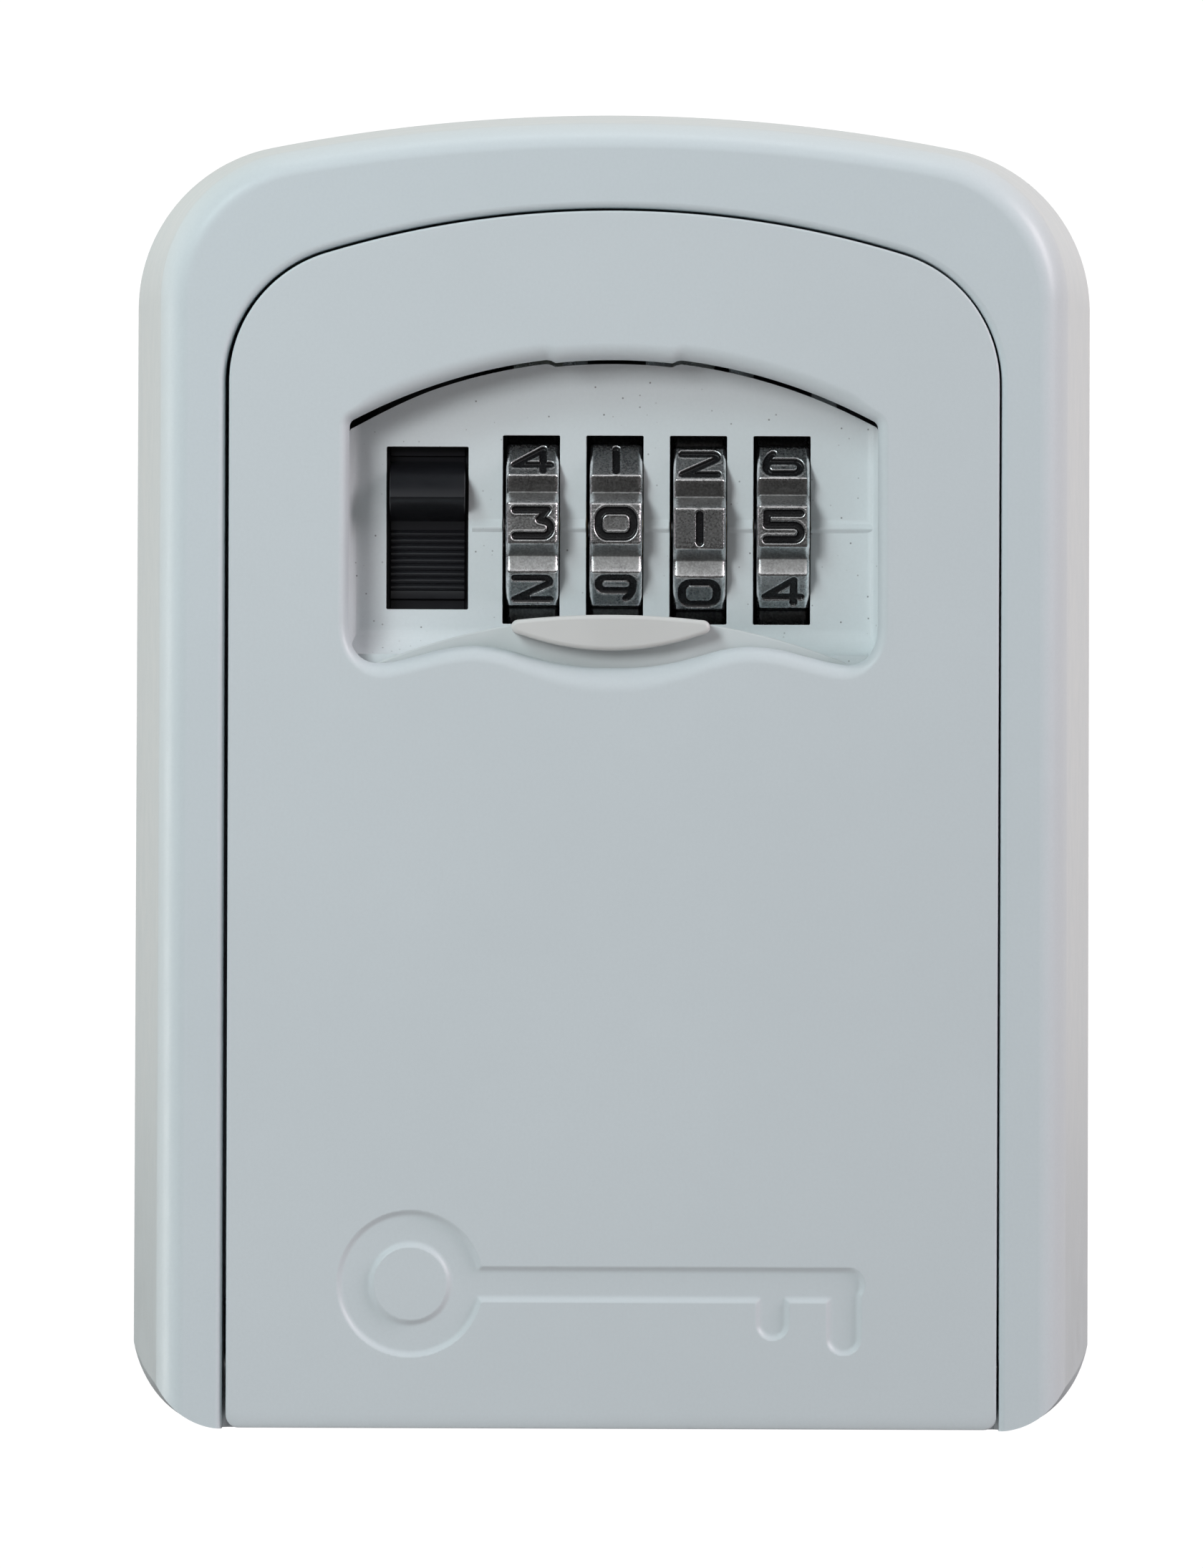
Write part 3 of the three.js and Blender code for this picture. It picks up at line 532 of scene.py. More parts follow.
# finishes: (slot, material)
HOUSING_PAINT = ("housing_paint", powder_coat("housing_powder_coat", (0.60, 0.675, 0.70)))
DOOR_PAINT = ("door_paint", powder_coat("door_powder_coat", (0.60, 0.668, 0.69)))
# the door's paint made lighter for the panel: painted light against the shade of the window's
# recess
PANEL_PAINT = ("panel_paint", powder_coat(
    "panel_powder_coat", (0.70, 0.765, 0.78), rough=0.38, peel=0.2, grain=0.2, specks=0.9))
COVER_METAL = ("inner_cover_metal", powder_coat(
    "inner_cover_coat", (0.30, 0.335, 0.35), rough=0.5, peel=0.4, grain=0.4))
SHUTTER = ("shutter_plastic", plastic(
    "shutter_plastic", (0.62, 0.675, 0.68), rough=0.42, grain=0.15))
LENS = ("shutter_plastic", plastic("lens_plastic", (0.622, 0.642, 0.628), rough=0.4, grain=0.2))
BLACK = ("black_plastic", plastic(
    "black_plastic", (0.010, 0.0105, 0.013), rough=0.42, grain=0.5, scale=3500, specular=0.45))
STEEL = ("steel", metal("zinc_steel", (0.62, 0.63, 0.64), rough=0.3, scratch=0.3))
SPRING = ("steel", metal("spring_steel", (0.50, 0.50, 0.51), rough=0.25, scratch=0.2))
BOLT = ("steel", metal(
    "bolt_steel", (0.66, 0.66, 0.66), rough=0.28, scratch=0.4, stretch=(1, 1, 12),
    tint=(0.60, 0.56, 0.42)))
BRASS = ("brass", metal(
    "turned_brass", (0.72, 0.55, 0.24), rough=0.28, scratch=0.4, stretch=(14, 1, 1)))
# near-black painted shade for the walls of the panel's slots and of the arch gap
GAP_SHADE_BLACK = plastic(
    "painted_gap_shade", (0.02, 0.02, 0.021), rough=0.7, grain=0.4, scale=3000, specular=0.2)
WHEEL = wheel_metal()

# ------------------------------------------------------------------ housing
EDGE_Y = -32.3  # where the sloping flank turns into the rounded front edge
SIDE_DRAFT, TOP_DRAFT = 3.25, 2.5  # how far the flank draws in from the wall to EDGE_Y
EDGE_SIDE, EDGE_TOP = 2.6, 2.4  # how far the rounded edge draws in beyond that
EDGE_START = math.radians(24)  # where on its quarter turn the rounded edge starts
# foot arcs: centre x, centre z, radius across, radius up
BACK_FOOT = (35.0, HEEL + 9.9, 8.1, 9.9)
FACE_FOOT = (33.7, BOTTOM - 0.1 + 9.4, 7.4, 9.4)


def housing_ring(y, side, top, foot, inset=0.0):
    """The outline at y, drawn in from the wall and very slightly wider towards the feet."""
    foot_x, foot_z, across, up = foot
    outline = arched(
        BACK_HALF - side - inset, BACK_TOP - top - inset, arch=159, corner=14.85 - side * 0.6,
        foot=(foot_x, foot_z, across - inset, up - inset))
    return y, [(x * (1 + 0.0028 * min(max((30 - z) / 85, 0), 1)), z) for x, z in outline]


def flank_ring(t, inset=0.0):
    """A ring of the sloping flank, from the wall (0) to EDGE_Y (1)."""
    foot = [a + (b - a) * t for a, b in zip(BACK_FOOT, FACE_FOOT)]
    return housing_ring(EDGE_Y * t, SIDE_DRAFT * t, TOP_DRAFT * t, foot, inset)


def housing_body():
    rings = [flank_ring(0.0, inset=0.3), flank_ring(0.01)]
    rings += [flank_ring(k / 5) for k in range(1, 6)]
    for k in range(1, EDGE_RINGS + 1):
        angle = EDGE_START + (math.pi / 2 - EDGE_START) * k / EDGE_RINGS
        forward = (math.sin(angle) - math.sin(EDGE_START)) / (1 - math.sin(EDGE_START))
        inward = (math.cos(EDGE_START) - math.cos(angle)) / math.cos(EDGE_START)
        rings.append(housing_ring(
            EDGE_Y + (FRONT - EDGE_Y) * forward,
            SIDE_DRAFT + EDGE_SIDE * inward,
            TOP_DRAFT + EDGE_TOP * inward,
            FACE_FOOT))
    return loft(rings)


def make_housing():
    housing = housing_body()

    hollow_rings = ((PLATE_FRONT, 39.6, 56.2), (LIP_BACK, 36.7, 53.9))  # y, half width, top
    hollow = loft([
        (y, arched(half, top, arch=160, corner=11.5, bottom=BOTTOM + 2.6, foot_radius=5))
        for y, half, top in hollow_rings
    ])
    # blocks left in the low corners, a bar under the top wall and bosses round the wall holes
    for left, right in mirrored(OPEN_HALF, 44):
        cut(hollow, box(left, right, -33, -22.5, -60, -46.5))
    cut(hollow, box(-10, 10, -24.5, -21.2, 49.6, 60))
    for x, z in MOUNT_HOLES:
        cut(hollow, cylinder("Y", 6.2, -4.2, 0.5, x, z))
    cut(housing, hollow)

    # the door's opening, with its front edge rounded, and its clearance at the bottom
    cut(housing, loft([
        (y, arched(OPEN_HALF + grow, OPEN_TOP - 0.03 + grow, arch=86.35 + grow,
                   corner=12.15 + grow, bottom=-70, foot_radius=1, foot_steps=2, shift=-0.045))
        for y, grow in mouth(FRONT, radius=0.62, steps=8, reach=3, back=LIP_BACK + 0.6)
    ]))
    cut(housing, box(-OPEN_HALF, OPEN_HALF, -40, -21.4, -70, BOTTOM + 6))

    # a shallow recess in the wall side, leaving pads round the holes and a rib down the middle
    recess = loft([
        (y, arched(36.9 + grow, 53.2 + grow, arch=160, corner=9, bottom=BOTTOM + 4.2 - grow,
                   foot_radius=4))
        for y, grow in ((-0.9, -0.25), (-0.65, 0), (1, 0))
    ])
    for x, z in MOUNT_HOLES:
        cut(recess, cylinder("Y", 7.5, -2, 2, x, z))
    cut(recess, box(-4, 4, -2, 2, -60, 60))
    cut(housing, recess)

    for x, z in MOUNT_HOLES:
        cut(housing, cylinder("Y", 2.4, -10, 2, x, z))
        cut(housing, cylinder("Y", 4.9, -4.6, -1.7, x, z, end_radius=2.3))
    for left, right in mirrored(30, 38.3):
        cut(housing, cylinder("X", PIN_RADIUS + 0.12, left, right, HINGE_Y, HINGE_Z))
    finish_piece(housing, "housing_shell", "housing", HOUSING_PAINT, "housing")


# ------------------------------------------------------------------ door
DOOR_EDGE = 0.22  # radius of the door's front edge
FOOT_EDGE = 1.2  # how far that edge reaches up at the foot
WINDOW_CORNER = 0.7
WINDOW_EDGE = 1.45  # radius of the window's front edge
LIP_DROP, LIP_HALF = 0.35, 5.6  # the low stretch in the middle of the window's arch
# left half of the window's waved foot, up to the middle: x, z
WINDOW_FOOT = [
    (-23.1, 12.9), (-22.95, 11.7), (-22.55, 10.6), (-21.8, 9.85), (-20.75, 9.5),
    (-19.2, 9.62), (-17.0, 10.15), (-14.6, 10.75), (-12.0, 11.02), (-9.6, 10.75),
    (-7.4, 10.15), (-5.0, 9.55), (-2.5, 9.2), (0, 9.12),
]


def window_foot():
    """A smooth curve through the points of the window's foot, left to right."""
    points = WINDOW_FOOT + [(-x, z) for x, z in reversed(WINDOW_FOOT[:-1])]
    padded = [points[0]] + points + [points[-1]]
    curve = []
    for p0, p1, p2, p3 in zip(padded, padded[1:], padded[2:], padded[3:]):
        for k in range(WINDOW_FOOT_STEPS):
            t = k / WINDOW_FOOT_STEPS
            curve.append(tuple(
                0.5 * (2 * b + (c - a) * t + (2 * a - 5 * b + 4 * c - d) * t * t
                       + (3 * b - a - 3 * c + d) * t ** 3)
                for a, b, c, d in zip(p0, p1, p2, p3)))
    curve.append(points[-1])
    return np.array(curve)


def window(grow=0.0):
    """The window's outline, widened by grow: an arch with a shallow lip, and a waved foot."""

    def widening(x):
        """Narrower at the sides than at the arch and the foot."""
        return grow * (0.66 + 0.34 * float(smoothstep((22.6 - abs(x)) / 2.6)))

    foot = window_foot()
    along = np.gradient(foot, axis=0)
    along /= np.linalg.norm(along, axis=1)[:, None]
    outward = np.stack([along[:, 1], -along[:, 0]], 1)
    # the edge is wider under the thumb tab
    extra = np.array([widening(x) * (1 + 0.55 * math.exp(-((x / 6.5) ** 2))) for x, _ in foot])
    foot = foot + outward * extra[:, None]

    corner_x = WINDOW_HALF - WINDOW_CORNER
    arch_z = WINDOW_TOP - WINDOW_ARCH
    meet = math.asin(corner_x / (WINDOW_ARCH - WINDOW_CORNER))
    corner_z = arch_z + math.sqrt((WINDOW_ARCH - WINDOW_CORNER) ** 2 - corner_x ** 2)
    corner = []
    for k in range(9):
        angle = math.pi / 2 + (meet - math.pi / 2) * k / 8
        radius = WINDOW_CORNER + widening(corner_x + WINDOW_CORNER * math.sin(angle))
        corner.append((corner_x + radius * math.sin(angle), corner_z + radius * math.cos(angle)))
    arch = []
    for k in range(1, WINDOW_ARCH_STEPS):
        angle = meet - 2 * meet * k / WINDOW_ARCH_STEPS
        x = WINDOW_ARCH * math.sin(angle)
        radius = WINDOW_ARCH + widening(x)
        lip = LIP_DROP * min(1.0, max(0.0, (LIP_HALF - abs(x)) / 0.3))
        arch.append((radius * math.sin(angle), arch_z + radius * math.cos(angle) - lip))
    return [tuple(v) for v in foot] + corner + arch + [(-x, z) for x, z in reversed(corner)]


def door_body():
    stations = [(DOOR_BACK, 0, 0), (-33.4, 0, 0)]  # y, inset, rise of the foot
    for k in range(7):
        angle = math.pi / 2 * k / 6
        inward = 1 - math.cos(angle)
        y = FRONT + DOOR_EDGE - DOOR_EDGE * math.sin(angle)
        stations.append((y, DOOR_EDGE * inward, FOOT_EDGE * inward))
    # rounded so that stations that meet fall together
    stations = {tuple(round(v, 5) for v in station) for station in stations}
    return loft([
        (y, arched(DOOR_HALF + 0.075 - inset, DOOR_TOP + 0.07 - inset, arch=86,
                   corner=11.8 - inset, bottom=BOTTOM + rise, foot_radius=1.1, foot_steps=8,
                   shift=0.045))
        for y, inset, rise in sorted(stations, key=lambda station: -station[0])
    ])


def make_door():
    door = door_body()

    outline = arched(DOOR_HALF - 2, DOOR_TOP - 2, arch=84, corner=9.8, bottom=BOTTOM + 2.2,
                     foot_radius=1, foot_steps=3)
    hollow = prism_xz(outline, DOOR_PLATE_BACK, DOOR_BACK + 1)
    # blocks left for the hinge pins, bosses for the screws and a low rib across
    for left, right in mirrored(28, 34):
        cut(hollow, box(left, right, -36, -25, -58, -48.4))
    for x, z in SCREWS:
        cut(hollow, cylinder("Y", 2.45, -36, -29.35, x, z))
    cut(hollow, box(-33, 33, -36, -31.4, -36.8, -35.4))
    cut(door, hollow)

    for x, z in SCREWS:
        cut(door, cylinder("Y", 1.3, -32.9, -25, x, z))
    edge = mouth(FRONT, radius=WINDOW_EDGE, steps=8, reach=3, back=DOOR_PLATE_BACK + 1)
    cut(door, loft([(y, window(grow)) for y, grow in edge]))
    for left, right in mirrored(29.8, 40):
        cut(door, cylinder("X", PIN_RADIUS + 0.2, left, right, HINGE_Y, HINGE_Z))
    cut(door, key_emblem())
    finish_piece(door, "door_panel", "door", DOOR_PAINT, "door_shell")


EMBLEM_X, EMBLEM_Z = (-25.0, 24.0), (-53.2, -36.2)
EMBLEM_DEPTH = 0.34
KEY_Z = -44.6
BOW_X, BOW_RADIUS, BOW_HALF = -17.5, 4.8, 1.4  # the ring, and half its band's width
# shank and two teeth: start, end, half width
KEY_BARS = [
    ((-12.3, KEY_Z), (20.6, KEY_Z), 1.35),
    ((20.3, KEY_Z), (20.3, -49.2), 1.35),
    ((14.1, KEY_Z), (14.1, -48.0), 1.25),
]


def key_emblem():
    """The tool that sinks a plain key into the door's face, with softly sloping sides."""
    xs = np.arange(EMBLEM_X[0], EMBLEM_X[1] + EMBLEM_STEP / 2, EMBLEM_STEP)
    zs = np.arange(EMBLEM_Z[0], EMBLEM_Z[1] + EMBLEM_STEP / 2, EMBLEM_STEP)
    X, Z = np.meshgrid(xs, zs, indexing="ij")
    distance = np.abs(np.hypot(X - BOW_X, Z - KEY_Z) - BOW_RADIUS) - BOW_HALF
    for start, end, half in KEY_BARS:
        distance = np.minimum(distance, path_distance([[start, end]], X, Z) - half)
    sunk = smoothstep((0.3 - distance) / 0.6)
    depth = EMBLEM_DEPTH * sunk
    inside = sunk > 0
    keep = inside[:-1, :-1] | inside[1:, :-1] | inside[:-1, 1:] | inside[1:, 1:]
    index, verts, faces = {}, [], []

    def vertex(i, j, in_floor):
        """A vertex of the sunk floor, or of the tool's flat side in front of the door."""
        key = (i, j, in_floor)
        if key not in index:
            index[key] = len(verts)
            y = FRONT - 0.004 + depth[i, j] if in_floor else FRONT - 0.6
            verts.append((X[i, j], y, Z[i, j]))
        return index[key]

    for i, j in np.argwhere(keep):
        i, j = int(i), int(j)
        cell = [(i, j), (i + 1, j), (i + 1, j + 1), (i, j + 1)]
        faces.append(tuple(vertex(*p, True) for p in cell))
        faces.append(tuple(vertex(*p, False) for p in reversed(cell)))
        sides = zip(cell, cell[1:] + cell[:1], ((0, -1), (1, 0), (0, 1), (-1, 0)))
        for a, b, (step_i, step_j) in sides:
            ii, jj = i + step_i, j + step_j
            if not (0 <= ii < len(xs) - 1 and 0 <= jj < len(zs) - 1 and keep[ii, jj]):
                faces.append((
                    vertex(*a, True), vertex(*b, True), vertex(*b, False), vertex(*a, False)))
    return raw(verts, faces)


# ------------------------------------------------------------------ dial panel
COVE_RADIUS = 0.75  # where the ledges beside the panel run down to it
FOOT_COVE_RADIUS = 2.45
RAMP_Z, RAMP_HEIGHT = 30.1, 6.6  # where the panel starts to come forward, and over what height
RIDGE_SCALE = 1.35
# cross-section of the index ridge: z, height before RIDGE_SCALE
INDEX_RIDGE = [
    (22.2, 0.002), (22.0, 0.04), (21.8, 0.10), (21.62, 0.17), (21.48, 0.21), (21.37, 0.20),
    (21.25, 0.13), (21.12, 0.04), (21.02, 0.002),
]
# panel side of a ledge and its guide rail: x, y
LEDGE = [
    (26.0, PANEL_FRONT + 0.4), (26.0, -32.9), (24.4, -32.9), (24.4, -31.6), (23.5, -31.6),
    (22.86, -29.75),
]
LEDGE_FOOT_X = 22.15
# plates that carry the spindle, behind the panel: y, z
CHEEK = [
    (PANEL_BACK - 0.4, 14.6), (-19.2, 14.6), (-16.4, 17.6), (-16.4, 25.2), (-19.2, 28.2),
    (PANEL_BACK - 0.4, 28.2),
]


def rounded_rect(x0, x1, z0, z1, radius):
    points = []
    corners = (
        (x1 - radius, z0 + radius, -90), (x1 - radius, z1 - radius, 0),
        (x0 + radius, z1 - radius, 90), (x0 + radius, z0 + radius, 180),
    )
    for x, z, start in corners:
        for k in range(6):
            angle = math.radians(start + 90 * k / 5)
            points.append((x + radius * math.cos(angle), z + radius * math.sin(angle)))
    return points


def slot_cutter(x0, x1, z0, z1):
    """Cuts a slot through the panel, its front edge eased."""
    stations = mouth(PANEL_FRONT, radius=0.07, steps=4, reach=2, back=-20)
    return loft([
        (y, rounded_rect(x0 - grow, x1 + grow, z0 - grow, z1 + grow, 0.12 + grow))
        for y, grow in stations
    ])


def ledge(side):
    """Ledge for the shutter with a cove down to the panel, and the guide rail outside it."""
    outline = list(LEDGE)
    for k in range(7):
        angle = math.radians(71 * (1 - k / 6))
        x = LEDGE_FOOT_X + COVE_RADIUS * math.sin(angle)
        outline.append((x, PANEL_FRONT - 0.01 - COVE_RADIUS * (1 - math.cos(angle))))
    outline.append((LEDGE_FOOT_X, PANEL_FRONT + 0.4))
    return tube([[(side * x, y, z) for x, y in outline] for z in (CHASSIS_BOTTOM, 37.0)])


def index_ridge():
    """A low ridge across the panel, its long side upwards."""
    top_z, low_z = INDEX_RIDGE[0][0], INDEX_RIDGE[-1][0]
    outline = [(PANEL_FRONT + 0.3, top_z)]
    outline += [(PANEL_FRONT - RIDGE_SCALE * height, z) for z, height in INDEX_RIDGE]
    outline.append((PANEL_FRONT + 0.3, low_z))
    return prism_yz(outline, -12.4, 22.7)


def panel_ramp():
    """Above the slots the panel comes forward towards the window's arch."""
    outline = [(PANEL_FRONT + 0.4, RAMP_Z)]
    for k in range(9):
        t = k / 8
        y = PANEL_FRONT - PANEL_RISE * float(smoothstep(t)) - 0.001 * (k > 0)
        outline.append((y, RAMP_Z + RAMP_HEIGHT * t))
    outline += [(PANEL_FRONT - PANEL_RISE, 39.4), (PANEL_FRONT + 0.4, 39.4)]
    return prism_yz(outline, -23.6, 23.6)


def arch_gap():
    """The gap along the panel's arch, just inside the window as the camera sees it."""
    line = [point for point in window() if point[1] > 29.0]
    # enlarges the window's outline to the panel's distance from the camera
    far = 1 + (PANEL_FRONT - PANEL_RISE - FRONT) / CAMERA_DISTANCE

    def drop(x):
        """How far below the window's edge the gap reaches: more towards the left."""
        return 0.41 + 0.06 * (x / 23) ** 2 + 0.28 * float(smoothstep((-x - 15) / 8))

    low = [(x * far, (z - drop(x)) * far) for x, z in line]
    first, last = low[0], low[-1]
    low = [(first[0] + 0.9, first[1] - 0.5)] + low + [(last[0] - 0.9, last[1] - 0.5)]
    high = [(x * 1.03, (z + 1.1) * far) for x, z in line]
    return prism_xz(low + high[::-1], PANEL_FRONT - 3, PANEL_BACK + 0.3)


def foot_cove():
    """A cove along the foot of the panel, up to the plane the shutter runs in."""
    radius, top_z, low_z = FOOT_COVE_RADIUS, 12.75, 6.0
    outline = [(PANEL_FRONT + 0.4, top_z)]
    for k in range(13):
        angle = math.radians(90 * k / 12)
        y = PANEL_FRONT - radius + radius * math.cos(angle)
        outline.append((y, top_z - radius * math.sin(angle)))
    outline += [(PANEL_FRONT - radius, low_z), (PANEL_FRONT + 0.4, low_z)]
    return prism_yz(outline, -24.0, 24.0)


def make_dial_panel():
    panel = prism_xz(CHASSIS_OUTLINE, PANEL_FRONT, PANEL_BACK)
    for side in (-1, 1):
        join(panel, ledge(side))
    join(panel, index_ridge())
    for x in WHEEL_X:
        cut(panel, slot_cutter(x - 2.6, x + 2.4, 13.0, 29.52))
    cut(panel, slot_cutter(LEVER_X - 3.58, LEVER_X + 3.58, 14.25, 28.5))
    join(panel, panel_ramp())
    cut(panel, arch_gap())
    join(panel, foot_cove())
    join(panel, prism_yz(CHEEK, -11.6, -10.2), prism_yz(CHEEK, 20.1, 21.4))
    for left, right in ((-13, -9), (19, 23)):
        cut(panel, cylinder("X", SPINDLE_RADIUS + 0.25, left, right, AXIS_Y, AXIS_Z))
    # a shelf behind the panel, below the lever
    join(panel, box(LEVER_X - 2.6, LEVER_X + 2.6, PANEL_BACK - 0.4, -22.8, 5.5, 6.4))
    for x, z in SCREWS:
        cut(panel, cylinder("Y", 1.4, -34, -24, x, z))
    finish_piece(panel, "dial_panel", "door", PANEL_PAINT, "dial_chassis")

    # the walls of the slots and of the gap get near-black painted shade
    panel.data.materials.append(GAP_SHADE_BLACK)
    for face in panel.data.polygons:
        x, y, z = (1000 * v for v in face.center)
        slope = abs(face.normal.y)
        through = PANEL_FRONT + 0.14 < y < PANEL_BACK + 0.05
        slot_wall = slope < 0.5 and through and abs(x) < 24.5 and 12.8 < z < 38.5
        gap_wall = slope < 0.3 and z > 30.5 and abs(x) < 23.5 and y < PANEL_FRONT + 0.2
        if slot_wall or gap_wall:
            face.material_index = 1


# ------------------------------------------------------------------ inner cover
COVER_LEFT, COVER_RIGHT, COVER_LOW, COVER_HIGH = -25.2, 26.6, 4.0, 43.8
COVER_BACK, COVER_WALL = -10.6, 1.2
COVER_CHAMFER, COVER_CORNER = 5.6, 1.6
COVER_EDGE = 1.0  # radius of the edge round its back


def cover_outline(inset):
    """The cover's box with its two top corners chamfered and all corners rounded."""
    left, right = COVER_LEFT + inset, COVER_RIGHT - inset
    low, high = COVER_LOW + inset, COVER_HIGH - inset
    corners = [
        (left, low), (right, low), (right, high - COVER_CHAMFER), (right - COVER_CHAMFER, high),
        (left + COVER_CHAMFER, high), (left, high - COVER_CHAMFER),
    ]
    points = []
    for i, corner in enumerate(corners):
        before = Vector(corners[i - 1])
        corner = Vector(corner)
        after = Vector(corners[(i + 1) % len(corners)])
        start = corner + (before - corner).normalized() * COVER_CORNER
        end = corner + (after - corner).normalized() * COVER_CORNER
        for t in (0, 0.25, 0.5, 0.75, 1):
            point = start * (1 - t) ** 2 + corner * 2 * t * (1 - t) + end * t * t
            points.append((point.x, point.y))
    return points


def make_cover():
    flange = PANEL_BACK + 0.1
    cover = prism_xz(CHASSIS_OUTLINE, flange, flange + 1.2)
    stations = round_over(COVER_BACK, COVER_EDGE, steps=5, direction=-1) + [(flange, 0)]
    join(cover, loft([(y, cover_outline(inset)) for y, inset in stations]))
    cut(cover, prism_xz(cover_outline(COVER_WALL), flange - 1, COVER_BACK - COVER_WALL))

    # guides beside the latch bolt, and shelves under its springs
    for guide, shelf in zip(mirrored(6.2, 7.2), mirrored(9.2, 12.8)):
        join(cover, box(*guide, -19.0, COVER_BACK - 1, 33.2, 42.8))
        join(cover, box(*shelf, -20.5, COVER_BACK - 1, 32.0, 33.1))
    # bosses for the detent spring's screws
    for x in DETENT_SCREWS_X:
        join(cover, cylinder("Z", 1.9, COVER_LOW + 1, 8.5, x, DETENT_SCREWS_Y))
        cut(cover, cylinder("Z", 0.85, COVER_LOW + 1.6, 10, x, DETENT_SCREWS_Y))
    # openings for the latch bolt and for the change tab
    cut(cover, box(-6.4, 6.4, -21.2, -18.9, 41, 46))
    cut(cover, box(21.6, 25.5, -14, -9, 18.5, 24.3))
    for x, z in SCREWS:
        cut(cover, cylinder("Y", 1.4, -34, -24, x, z))
    # ribs across the back
    for z in (12.0, 33.0):
        join(cover, box(-20, 18, COVER_BACK - 0.3, COVER_BACK + 0.0, z - 0.6, z + 0.6))
    finish_piece(cover, "inner_cover_casting", "door", COVER_METAL, "inner_cover")


# ------------------------------------------------------------------ wheels
NUMBERS = ("one", "two", "three", "four")
# digit to the front, and the turn away from square, in degrees
WHEEL_SETTINGS = [(3, 2.4), (0, 2.3), (1, -0.2), (5, 1.1)]
DIGIT_PITCH = 36.0  # degrees
FLAT_ANGLE = 10.4  # half the angle of a digit's flat, in degrees
WHEEL_CHAMFER = 0.3
DIGIT_STRETCH = 1.09  # in height
DIGIT_DEPTH, BURR_HEIGHT = 0.26, 0.03
# the rounded rim: distance from the wheel's side, share of the chamfer, low (painted shade), edge
# (painted highlight)
RIM = [(0.0, 1.0, 0.1, 0.7), (0.09, 0.55, 0.0, 1.0), (0.19, 0.22, 0.0, 1.0)]


def digit_strokes():
    """For each digit from 0 to 9: its strokes as (x, z) paths, and half their width."""

    def arc(cx, cz, rx, rz, start, end, steps=10):
        angles = [math.radians(start + (end - start) * k / steps) for k in range(steps + 1)]
        return [(cx + rx * math.cos(a), cz + rz * math.sin(a)) for a in angles]

    def stadium(cz, half, r):
        flat = half - r
        return arc(flat, cz, r, r, -90, 90) + arc(-flat, cz, r, r, 90, 270) + [(flat, cz - r)]

    zero = (
        arc(0.7, 0.24, 0.82, 0.82, 0, 90)
        + arc(-0.7, 0.24, 0.82, 0.82, 90, 180)
        + arc(-0.7, -0.24, 0.82, 0.82, 180, 270)
        + arc(0.7, -0.24, 0.82, 0.82, 270, 360)
        + [(1.52, 0.24)]
    )
    two = [(-1.5, 1.02), (1.1, 1.02)] + arc(1.1, 0.68, 0.42, 0.34, 90, -35, 8)
    two += [(-1.5, -1.02), (1.55, -1.02)]
    three = [(-1.5, 1.07), (1.3, 1.07), (0.62, 0.28), (0.95, 0.2)]
    three += arc(0.98, -0.42, 0.62, 0.62, 90, -90, 12) + [(-1.5, -1.04)]
    four = [[(0.92, 1.1), (0.92, -1.1)], [(0.92, 1.1), (-1.55, -0.5), (1.55, -0.5)]]
    five = [(1.5, 1.07), (-1.45, 1.07), (-1.45, 0.1), (0.9, 0.1)]
    five += arc(0.95, -0.49, 0.6, 0.58, 85, -90, 12) + [(-1.5, -1.07)]
    six = [
        stadium(-0.48, 1.52, 0.6),
        [(-1.5, -0.35)] + arc(-0.35, -0.3, 1.15, 1.35, 175, 118, 8),
    ]
    nine = [[(-x, -z) for x, z in path] for path in six]
    return [
        ([zero], 0.34),
        ([[(0, 1.12), (0, -1.12)]], 0.32),
        ([two], 0.31),
        ([three], 0.31),
        (four, 0.31),
        ([five], 0.31),
        (six, 0.30),
        ([[(-1.5, 1.05), (1.5, 1.05), (-0.25, -1.12)]], 0.31),
        ([stadium(0.57, 1.25, 0.5), stadium(-0.53, 1.52, 0.58)], 0.31),
        (nine, 0.31),
    ]


def wheel_radii(near):
    """Radius of each row: ten flats joined by straight valleys, slightly softened."""
    flat, valley = math.radians(FLAT_ANGLE), math.radians(DIGIT_PITCH / 2)
    edge = np.array([WHEEL_RADIUS * math.cos(flat), WHEEL_RADIUS * math.sin(flat)])
    root = np.array([WHEEL_ROOT * math.cos(valley), WHEEL_ROOT * math.sin(valley)])
    run = root - edge
    normal = np.array([run[1], -run[0]])
    turn = np.radians(np.abs(near))
    slope = (normal @ edge) / (normal[0] * np.cos(turn) + normal[1] * np.sin(turn))
    radii = np.where(turn <= flat, edge[0] / np.cos(turn), slope)
    shifts = range(-6, 7)
    weights = np.exp(-0.5 * (np.array(shifts) / (0.88 * WHEEL_ROWS / 800)) ** 2)
    weights /= weights.sum()
    return sum(weight * np.roll(radii, shift) for weight, shift in zip(weights, shifts))


